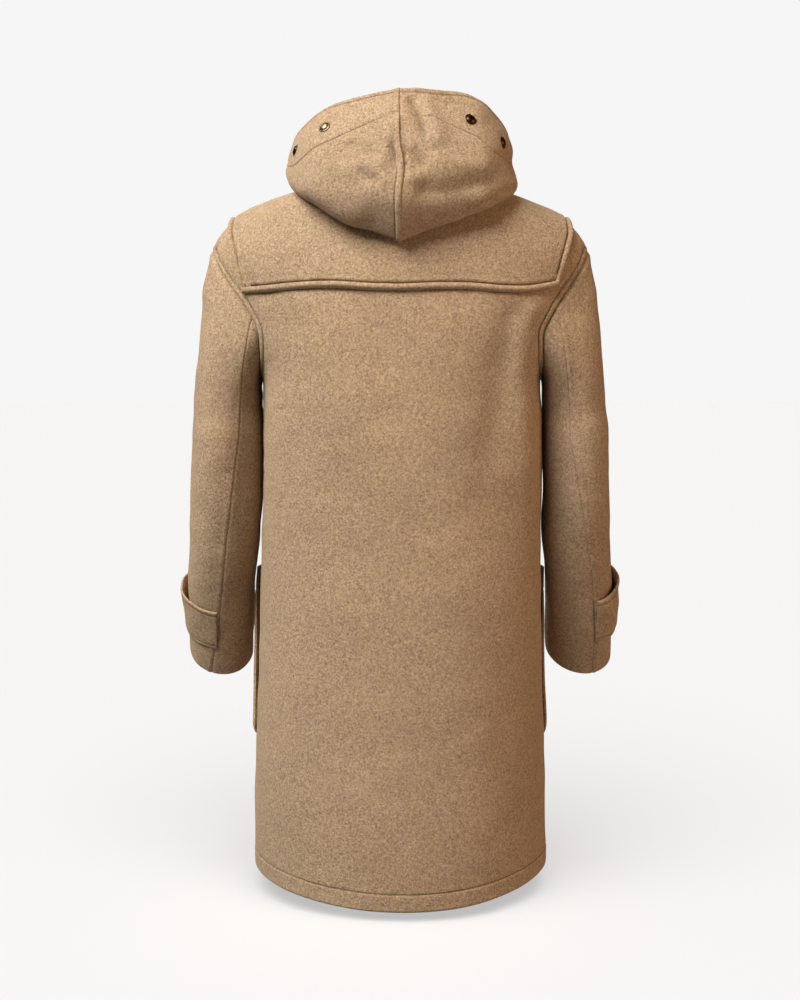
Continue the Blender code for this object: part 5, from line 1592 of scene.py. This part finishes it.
# %% The two hood halves
for side, word in SIDES:
    place, height = np.array(FACING_LINE[side]).T
    rough = np.linspace(0, 1, 300)
    facing = smooth_curve(place, height, rough)

    def hood_half(around, up, out=0.0, side=side):
        """The hood half itself: the halves overlap by more on the inside of their seam."""
        meeting = side * (0.25 * MM - 0.3 * out) * ease((around - 0.97) / 0.03)
        return swayed(hood(side, around, up, out)) - stacked(meeting, 0.0, 0.0)

    column = hood_half(np.full(200, 0.85), np.linspace(0, 1, 200))
    unit_up = travelled(column[None])[0, -1]   # metres that up counts as one
    margin = FACING_MARGIN / unit_up
    below = np.concatenate([PLAIN_STEPS / unit_up, np.linspace(PLAIN_STEPS[-1] / unit_up, 1, 62)[1:]])
    edge = 1 - FACE_EDGE_STEPS / unit_up
    rows = [(facing - margin) * share for share in below]
    rows += [facing + step for step in FACING_STEPS / unit_up]
    rows += [facing + margin + (edge[0] - facing - margin) * share for share in np.linspace(0, 1, 10)[:-1]]
    rows += [np.full(rough.shape, place) for place in edge]
    second = np.array(rows)
    first = np.repeat(rough[None], len(second), axis=0)
    first, second = set_out(hood_half, first, second, PLAIN_STEPS, SEWN_STEPS, HOOD_PITCH)
    points = hood_half(first, second)
    _, from_seam, _, from_face = rim_distances(points)
    outside = ease((second - 0.24) / 0.06) * ease((points[..., 1] + 4 * CM) / (6 * CM))
    relief = 0.9 * MM * lumps(points, 7 * CM, 51 + side) + 0.35 * MM * lumps(points, 2.8 * CM, 53 + side)
    relief = creased(relief, points, HOOD_CREASES[side])
    for dent in HOOD_SPOTS[side]:
        relief = relief + spot(points, *dent)
    relief += 0.6 * MM * lumps(points, 0.9 * CM, 55) * spot(points, 0.9 * side, -0.2, 1.1, 1.6, 1.0) / MM
    relief = relief * outside
    relief += sewn_band(from_face, 0.5 * MM, 0.4 * MM, FACE_EDGE_LINE)
    crisp = ease((first - 0.45) / 0.15) * (1 - 0.75 * ease((first - 0.90) / 0.08))
    crisp = crisp * (1.0 if side > 0 else 0.75)
    facing_here = smooth_curve(place, height, first)
    from_facing = np.abs(second - facing_here) * unit_up
    relief -= 0.6 * MM * bell(from_facing, 1.1 * MM) * crisp
    relief += 0.35 * MM * ease((second - facing_here) * unit_up / (3 * MM)) * crisp
    low_part = ease((WELT_TOP - points[..., 2]) / (1.0 * CM)) * ease((second - 0.21) / 0.03)
    if side > 0:
        welt = 1.5 * MM * (from_seam < WELT) * np.sin(math.pi * np.clip(from_seam / WELT, 0, 1)) ** 0.4
        welt -= 1.0 * MM * bell(from_seam - WELT, 1.1 * MM)
        rounded = 1.0 * MM * bell(from_seam - 2.5 * MM, 4.5 * MM)
        relief += welt * low_part + rounded * (1 - low_part)
        relief -= 1.0 * MM * np.exp(-from_seam / (1.0 * MM))
    else:
        relief -= 1.5 * MM * np.exp(-from_seam / (2.0 * MM)) * ease((second - 0.1) / 0.1)
    name = "hood_%s_cloth" % word
    cloth(name, hood_half, first, second, relief, sewn=("end", "low"))
    run = np.linspace(0.46, 0.985, 160)
    sew(name, run, smooth_curve(place, height, run))
    run = np.linspace(0.06, 0.985, 240)
    sew(name, run, 1 - FACE_EDGE_LINE / unit_up)
    if side > 0:
        up = np.linspace(0.235, 0.63, 80)
        dense = np.linspace(0.85, 1.0, 200)
        lengths = travelled(hood_half(*spread(dense, up)))
        welt_around = np.array([np.interp(row[-1] - WELT, row, dense) for row in lengths])
        sew(name, welt_around, up)
print("hood dressed")

# %% [markdown]
# ## Snap caps
# Four brass snaps along the face edge hold a liner or a visor. Each shows a pressed cap: a thin rolled
# rim round a low dome, lacquered dark and rubbed bright on its crown. One cap takes a lighter copy of the
# brass, as painted light, and three a darker copy, as painted shade.

# %% Antique brass
def antique_brass(name, dark, bright):
    """Pressed brass, chemically darkened: bright where hands polish it, brown in the hollows."""
    material, tree, shader = blank_material(name, {"Metallic": 1.0})
    place = node(tree, "ShaderNodeTexCoord").outputs["Object"]
    stain = noise(tree, place, 4.0, 4.0)
    colour = two_tone(tree, stain, 0.38, 0.62, dark, bright)
    rough = node(tree, "ShaderNodeMapRange", {"Value": stain, "To Min": 0.42, "To Max": 0.26})
    tree.links.new(colour, shader.inputs["Base Color"])
    tree.links.new(rough.outputs[0], shader.inputs["Roughness"])
    return material


# Two copies of one brass: a lighter one as painted light and a darker one as painted shade.
BRASS_IN_PAINTED_LIGHT = antique_brass("polished_antique_brass", "#6b5638", "#c4ab84")
BRASS_IN_PAINTED_SHADE = antique_brass("darkened_antique_brass", "#3a2614", "#5c4023")

# %% Turned pieces
def turned(name, profile, centre, axis, sides, material):
    """A closed solid turned about an axis; the profile's (radius, height) pairs start and end at radius 0."""
    axis = unit(np.asarray(axis, dtype=float))
    across = unit(np.cross(axis, (0.0, 0.0, 1.0) if abs(axis[2]) < 0.9 else (1.0, 0.0, 0.0)))
    up = np.cross(axis, across)
    turn = np.linspace(0, 2 * math.pi, sides, endpoint=False)[:, None]
    circle = across * np.cos(turn) + up * np.sin(turn)
    rings = [centre + axis * height + circle * radius for radius, height in profile[1:-1]]
    points = np.concatenate([[centre + axis * profile[0][1]], *rings, [centre + axis * profile[-1][1]]])
    last = len(points) - 1
    faces = []
    for place in range(sides):
        after = (place + 1) % sides
        faces.append((0, 1 + after, 1 + place))
        faces.append((last, last - sides + place, last - sides + after))
        for ring in range(len(rings) - 1):
            low = 1 + ring * sides
            faces.append((low + place, low + after, low + sides + after))
            faces.append((low + place, low + sides + after, low + sides + place))
    return add_piece(name, points, np.array(faces), material)


def scaled(profile, radius, height):
    """A profile given in shares of a radius and a height, in metres."""
    return [(share_out * radius, share_up * height) for share_out, share_up in profile]


SNAP_RADIUS = 7.2 * MM
SNAP_HEIGHT = 3.4 * MM
# The snap caps sit near the hood's face edge: side, place round the hood and up to the edge.
SNAPS = (
    ("snap_left_upper", 1, 0.810, 0.835),
    ("snap_left_side", 1, 0.635, 0.760),
    ("snap_right_upper", -1, 0.833, 0.855),
    ("snap_right_side", -1, 0.700, 0.775),
)
CAP_SINK = 0.3 * MM            # into the nap
CAP_SIDES = 40
CAP_PROFILE = (
    (0.0, 0.0), (1.0, 0.0), (1.04, 0.10), (1.05, 0.20), (1.0, 0.32), (0.93, 0.34), (0.87, 0.28), (0.84, 0.30),
    (0.78, 0.50), (0.66, 0.72), (0.50, 0.88), (0.32, 0.97), (0.15, 1.0), (0.0, 1.0),
)
for name, side, around, up in SNAPS:
    hit, axis = landed("hood_%s_cloth" % dict(SIDES)[side], np.array([around]), np.array([up]))[0]
    # Painted light and shade: the upper left cap gets the lighter brass, the other three the darker copy.
    brass = BRASS_IN_PAINTED_LIGHT if name == "snap_left_upper" else BRASS_IN_PAINTED_SHADE
    profile = scaled(CAP_PROFILE, SNAP_RADIUS, SNAP_HEIGHT)
    turned(name + "_cap", profile, hit - axis * CAP_SINK, axis, CAP_SIDES, brass)

# %% [markdown]
# ## Horn: cuff buttons and toggles
# Both are cut from ox horn, turned, drilled and buffed: nearly black with brown streaks along the
# grain, and a soft shine. The button is a dished disc with four holes; the toggle is a long rounded
# bead with a waist for its cord.

# %% Ox horn
def polished_horn(name, dark, streak):
    """Polished ox horn, streaked along its grain; the streaks are noise stretched along X."""
    material, tree, shader = blank_material(name, {"Roughness": 0.28, "IOR": 1.54, "Coat Weight": 0.15})
    place = node(tree, "ShaderNodeTexCoord").outputs["Object"]
    grain = node(tree, "ShaderNodeVectorMath", {0: place, 1: (0.12, 1.0, 1.0)}, operation="MULTIPLY")
    colour = two_tone(tree, noise(tree, grain.outputs[0], 3.0, 5.0, Distortion=0.6), 0.42, 0.68, dark, streak)
    tree.links.new(colour, shader.inputs["Base Color"])
    return material


HORN = polished_horn("polished_ox_horn", "#1a100a", "#6b4526")

# %% Cuff buttons with four drilled holes
BUTTON_RADIUS = 10.0 * MM
BUTTON_HEIGHT = 3.5 * MM
BUTTON_LIFT = 0.8 * MM         # above the strap, on its thread
BUTTON_SIDES = 48
HOLE_RADIUS = 0.9 * MM
HOLE_PLACE = 1.9 * MM          # from the button's middle, along both ways
DRILL_SIDES = 16
DRILL = ((0.0, -4 * MM), (HOLE_RADIUS, -4 * MM), (HOLE_RADIUS, 8 * MM), (0.0, 8 * MM))
BUTTON_PROFILE = (
    (0.0, 0.0), (0.80, 0.0), (0.93, 0.10), (1.0, 0.35), (1.0, 0.60), (0.96, 0.85), (0.88, 1.0), (0.80, 0.97),
    (0.72, 0.80), (0.60, 0.68), (0.30, 0.66), (0.0, 0.66),
)


def apply_modifiers(piece):
    """Gives a piece the mesh that its modifiers make, and takes them off."""
    graph = bpy.context.evaluated_depsgraph_get()
    before = piece.data
    piece.data = bpy.data.meshes.new_from_object(piece.evaluated_get(graph))
    piece.modifiers.clear()
    bpy.data.meshes.remove(before)


def bored(piece, cutters):
    """The piece with the cutters taken out of it; the cutters are removed."""
    for cutter in cutters:
        boolean = piece.modifiers.new("hole", "BOOLEAN")
        boolean.operation = "DIFFERENCE"
        boolean.solver = "EXACT"
        boolean.object = cutter
    apply_modifiers(piece)
    for cutter in cutters:
        bpy.data.objects.remove(cutter)


for side, word in SIDES:
    foot, further = STRAP_SEATS[side]
    axis = unit(further - foot)
    foot = foot + axis * BUTTON_LIFT
    profile = scaled(BUTTON_PROFILE, BUTTON_RADIUS, BUTTON_HEIGHT)
    button = turned("cuff_button_%s_horn" % word, profile, foot, axis, BUTTON_SIDES, HORN)
    across = unit(np.cross(axis, (0.0, 0.0, 1.0)))
    up = np.cross(axis, across)
    cutters = []
    for first, second in ((1, 1), (1, -1), (-1, 1), (-1, -1)):
        middle = foot + (across * first + up * second) * HOLE_PLACE
        cutters.append(turned("drill_%s_%d" % (word, len(cutters)), DRILL, middle, axis, DRILL_SIDES, HORN))
    bored(button, cutters)
    print(button.name, len(button.data.polygons), "faces")

# %% Toggles
TOGGLE_HEIGHTS = (-22.0 * CM, -34.5 * CM, -47.0 * CM, -59.5 * CM)
TOGGLE_LENGTH = 5.4 * CM
TOGGLE_RADIUS = 6.5 * MM
TOGGLE_GAP = 0.3 * MM          # between a toggle and the strands it lies on
TOGGLE_SIDES = 40
TAB_OUTER = 9.2 * CM
TAB_INNER = 5.6 * CM           # where a toggle's cloth tab starts, from the centre front
TAB_HALF_HEIGHT = 2.1 * CM
TAB_THICKNESS = 2.5 * MM
TAB_SHAPE = (0.0, 0.25, 0.5, 0.75, 1.0), (0.55, 0.85, 1.0, 0.9, 0.55)   # along it, share of its height
CORD_RADIUS = 2.0 * MM
CORD_SPREAD = 9.0 * MM         # half the distance between a loop's two strands
CORD_END = 4.5 * MM            # how far from the centre front a loop's bend ends
TOGGLE_SHARES = (0.0, 0.004, 0.02, 0.05, 0.10, 0.17, 0.25, 0.34, 0.41, 0.45, 0.475, 0.50)
TOGGLE_WIDTHS = (0.0, 0.22, 0.44, 0.60, 0.75, 0.88, 0.96, 1.0, 0.96, 0.86, 0.80, 0.79)
STRAND = SMALL_LAY_GAP + CORD_RADIUS


def front_point(across, height, out):
    """A point over the fronts, this far to the wearer's left of the centre and above the cloth."""
    rise = rise_at_height(height)
    return body(angle_at(across, rise, True), rise, out)


shares = np.concatenate([TOGGLE_SHARES, 1 - np.array(TOGGLE_SHARES)[::-1][1:]])
widths = np.concatenate([TOGGLE_WIDTHS, np.array(TOGGLE_WIDTHS)[::-1][1:]])
toggle_profile = list(zip(widths * TOGGLE_RADIUS, (shares - 0.5) * TOGGLE_LENGTH))
for place, height in enumerate(TOGGLE_HEIGHTS, start=1):
    centre = front_point(0.0, height, 2 * STRAND + TOGGLE_RADIUS + TOGGLE_GAP)
    turned("toggle_%d_horn" % place, toggle_profile, centre, (1.0, 0.0, 0.0), TOGGLE_SIDES, HORN)

# %% [markdown]
# ## Cord loops and their tabs
# Each loop is a three-strand twisted cotton cord whose ends are sewn under a small tab of the coat's
# own wool. The twist is modelled as three lobes turning along the cord, which shows in silhouette where
# a bump map would not.

# %% Twisted cotton cord
def twisted_cotton(name, pale, deep):
    """Matt cotton cord, a little uneven in its dye."""
    material, tree, shader = blank_material(name, {"Roughness": 0.85, "Sheen Weight": 0.15})
    place = node(tree, "ShaderNodeTexCoord").outputs["Object"]
    colour = two_tone(tree, noise(tree, place, 2.5, 4.0), 0.35, 0.65, deep, pale)
    fuzz = noise(tree, place, 0.5, 3.0)
    bump = node(tree, "ShaderNodeBump", {"Height": fuzz, "Distance": 0.15 * MM, "Strength": 0.6})
    tree.links.new(colour, shader.inputs["Base Color"])
    tree.links.new(bump.outputs[0], shader.inputs["Normal"])
    return material


CORD = twisted_cotton("twisted_cotton_cord", "#b08a5c", "#86633d")
THREAD = twisted_cotton("linen_sewing_thread", "#b08c62", "#8c6a45")

# %% The loops and tabs
TWIST_PITCH = 14 * MM          # one strand's full turn
CORD_SIDES = 18
CORD_PITCH = 0.7 * MM          # from one ring of its points to the next


def twisted(name, path, radius, material):
    """A three-strand cord along a path, its ends closed."""
    length = travelled(path[None])[0]
    fine = np.linspace(0, length[-1], int(length[-1] / CORD_PITCH))
    path = np.stack([np.interp(fine, length, path[:, axis]) for axis in range(3)], axis=-1)
    along = unit(np.gradient(path, axis=0))
    across = unit(np.cross(along, (0.0, -1.0, 0.0)))
    up = np.cross(across, along)
    turn = np.linspace(0, 2 * math.pi, CORD_SIDES, endpoint=False)[None]
    spin = 2 * math.pi * fine[:, None] / TWIST_PITCH
    width = radius * (0.80 + 0.20 * np.abs(np.cos(1.5 * (turn - spin))) ** 0.8)
    sideways = across[:, None] * (width * np.cos(turn))[..., None]
    ring = sideways + up[:, None] * (width * np.sin(turn))[..., None]
    points = np.concatenate([(path[:, None] + ring).reshape(-1, 3), path[:1], path[-1:]])
    faces = []
    count = len(path)
    last = (count - 1) * CORD_SIDES
    for side in range(CORD_SIDES):
        after = (side + 1) % CORD_SIDES
        faces.append((side, after, count * CORD_SIDES))
        faces.append((last + after, last + side, count * CORD_SIDES + 1))
        for row in range(count - 1):
            low = row * CORD_SIDES
            high = low + CORD_SIDES
            faces.append((low + side, high + side, high + after))
            faces.append((low + side, high + after, low + after))
    return add_piece(name, points, np.array(faces), material)


def tab_surface(across, height, out=0.0):
    """A tab's underside, a little above the front."""
    return front_point(across, height, np.asarray(out, dtype=float) + SMALL_LAY_GAP)


TAB_STEPS = np.array((0.0, 0.3, 0.8, 1.5, 2.4, 3.2, 3.8, 4.2, 4.8, 6.0)) * MM
TAB_LINE = 3.8 * MM
for place, height in enumerate(TOGGLE_HEIGHTS, start=1):
    for side, word in SIDES:
        share = np.linspace(0, 1, 60)
        half = TAB_HALF_HEIGHT * smooth_curve(*TAB_SHAPE, share)
        grow = rows_across(2 * TAB_HALF_HEIGHT, TAB_STEPS, 5) / TAB_HALF_HEIGHT - 1
        across = np.repeat((TAB_OUTER + (TAB_INNER - TAB_OUTER) * share)[None] * side, len(grow), axis=0)
        heights = height + grow[:, None] * half
        first, second = set_out(tab_surface, across, heights, TAB_STEPS, TAB_STEPS, 3 * MM)
        points = tab_surface(first, second, TAB_THICKNESS)
        nearest = np.minimum.reduce(rim_distances(points))
        relief = sewn_band(nearest, 0.4 * MM, 0.5 * MM, TAB_LINE)
        name = "toggle_tab_%s_%d_cloth" % (word, place)
        cloth(name, tab_surface, first, second, relief, thick=TAB_THICKNESS, out=TAB_THICKNESS)
        column = int(np.abs(TAB_STEPS - TAB_LINE).argmin())
        for line in ((column, slice(column, -column)), (-column - 1, slice(column, -column)),
                     (slice(column, -column), column), (slice(column, -column), -column - 1)):
            sew(name, first[line], second[line])
        straight = np.linspace(TAB_INNER - 4 * MM, CORD_END + CORD_SPREAD, 12)
        bend = np.linspace(0, math.pi, 25)[1:-1]
        curve = CORD_END + CORD_SPREAD * (1 - np.sin(bend))
        x = np.concatenate([straight, curve, straight[::-1]])
        z = np.concatenate([np.full(12, 1.0), np.cos(bend), np.full(12, -1.0)]) * CORD_SPREAD
        path = front_point(x * side, height + z, STRAND)
        twisted("toggle_cord_%s_%d_twist" % (word, place), path, CORD_RADIUS, CORD)

# %% [markdown]
# ## The stitches
# One group of geometry nodes turns every laid line into stitches: it walks along the line by the
# stitch length, sets a small bead of thread at each step, lays it flat on the cloth, and varies its
# size and slant a little, as a sewing machine on thick wool does.

# %% Setting the stitches
STITCH_PITCH = 4.2 * MM
STITCH_SIZE = (3.4 * MM, 0.75 * MM, 0.55 * MM)
STITCH_VARIATION = 0.12        # of its size, up and down
STITCH_SEED = 7


def stitch_nodes(material):
    """Stitches along the edges of a mesh whose points hold the cloth's outward direction."""
    group = bpy.data.node_groups.new("stitches_along_lines", "GeometryNodeTree")
    group.interface.new_socket("Lines", in_out="INPUT", socket_type="NodeSocketGeometry")
    for name, kind, value in (("Pitch", "Float", STITCH_PITCH), ("Variation", "Float", STITCH_VARIATION),
                              ("Size", "Vector", STITCH_SIZE), ("Seed", "Int", STITCH_SEED)):
        socket = group.interface.new_socket(name, in_out="INPUT", socket_type="NodeSocket" + kind)
        socket.default_value = value
    group.interface.new_socket("Stitches", in_out="OUTPUT", socket_type="NodeSocketGeometry")
    given = node(group, "NodeGroupInput").outputs
    line = node(group, "GeometryNodeMeshToCurve", {"Mesh": given["Lines"]})
    spots = node(group, "GeometryNodeCurveToPoints",
                 {"Curve": line.outputs["Curve"], "Length": given["Pitch"]}, mode="LENGTH")
    outward = node(group, "GeometryNodeInputNamedAttribute", {"Name": "out"}, data_type="FLOAT_VECTOR")
    jitter = node(group, "FunctionNodeRandomValue", {"Min": (-0.08, -0.08, -0.08), "Max": (0.08, 0.08, 0.08),
                                                     "Seed": given["Seed"]}, data_type="FLOAT_VECTOR")
    slanted = node(group, "ShaderNodeVectorMath", {0: spots.outputs["Tangent"], 1: jitter.outputs[0]},
                   operation="ADD")
    lengthwise = node(group, "FunctionNodeAlignRotationToVector", {"Vector": slanted.outputs[0]}, axis="X")
    upright = node(group, "FunctionNodeAlignRotationToVector",
                   {"Rotation": lengthwise.outputs[0], "Vector": outward.outputs["Attribute"]},
                   axis="Z", pivot_axis="X")
    least = node(group, "ShaderNodeMath", {0: 1.0, 1: given["Variation"]}, operation="SUBTRACT")
    most = node(group, "ShaderNodeMath", {0: 1.0, 1: given["Variation"]}, operation="ADD")
    scale = node(group, "FunctionNodeRandomValue",
                 {2: least.outputs[0], 3: most.outputs[0], "Seed": given["Seed"]}, data_type="FLOAT")
    bead = node(group, "GeometryNodeMeshUVSphere", {"Segments": 6, "Rings": 4, "Radius": 0.5})
    shaped = node(group, "GeometryNodeTransform", {"Geometry": bead.outputs["Mesh"], "Scale": given["Size"]})
    placed = node(group, "GeometryNodeInstanceOnPoints", {
        "Points": spots.outputs["Points"], "Instance": shaped.outputs[0], "Rotation": upright.outputs[0],
        "Scale": scale.outputs[1]})
    smooth = node(group, "GeometryNodeSetShadeSmooth", {"Geometry": placed.outputs[0]})
    real = node(group, "GeometryNodeRealizeInstances", {"Geometry": smooth.outputs[0]})
    named = node(group, "GeometryNodeSetMaterial", {"Geometry": real.outputs[0], "Material": material})
    node(group, "NodeGroupOutput", {"Stitches": named.outputs[0]})
    return group


line_points, line_edges, line_out = [], [], []
for laid in THREAD_LINES:
    first = len(line_points)
    line_points += [tuple(point) for point, direction in laid]
    line_out += [tuple(direction) for point, direction in laid]
    line_edges += [(first + place, first + place + 1) for place in range(len(laid) - 1)]
lines = bpy.data.meshes.new("thread_lines")
lines.from_pydata(line_points, line_edges, [])
lines.attributes.new("out", "FLOAT_VECTOR", "POINT").data.foreach_set("vector", np.array(line_out).ravel())
stitches = add_object("stitches", lines)
modifier = stitches.modifiers.new("stitches", "NODES")
modifier.node_group = stitch_nodes(THREAD)
sockets = {item.name: item.identifier for item in modifier.node_group.interface.items_tree
           if item.in_out == "INPUT"}
modifier[sockets["Pitch"]] = STITCH_PITCH
modifier[sockets["Variation"]] = STITCH_VARIATION
modifier[sockets["Seed"]] = STITCH_SEED
apply_modifiers(stitches)
print(len(THREAD_LINES), "lines,", len(stitches.data.polygons), "faces of thread")

# %% [markdown]
# ## What each piece is
# The coat is one rigid body, so every piece rides it. Each visual piece stands for one part of the solid
# model. The cloth pieces are listed with the size they were cut to.

# %% Each piece rides the body and hides its solid part
def declare(piece, node_name):
    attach(piece, "root")
    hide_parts(node_name)


MADE_OF = (("_cap", "brass"), ("_horn", "horn"), ("_twist", "cord"), ("_cloth", "wool"))
for piece in [item for item in bpy.data.objects if item.type == "MESH"]:
    for ending, slot in MADE_OF:
        if piece.name.endswith(ending):
            node_name = piece.name[:-len(ending)]
            declare(piece, node_name)

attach(stitches, "root")

# %% The cloth pieces' cut sizes read back, and counted
YOKE_CUT = (0.54, 0.40)        # laid flat, from front edge to front edge round the neck

for name, sheet in SHEETS.items():
    piece = sheet["piece"]
    width, length = YOKE_CUT if name == "yoke_cloth" else sheet["cut"]
print(len(SHEETS), "pieces of cloth")

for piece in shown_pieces():
    coat_lit.objects.link(piece)

# %% Sizes, and the end
low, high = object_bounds()
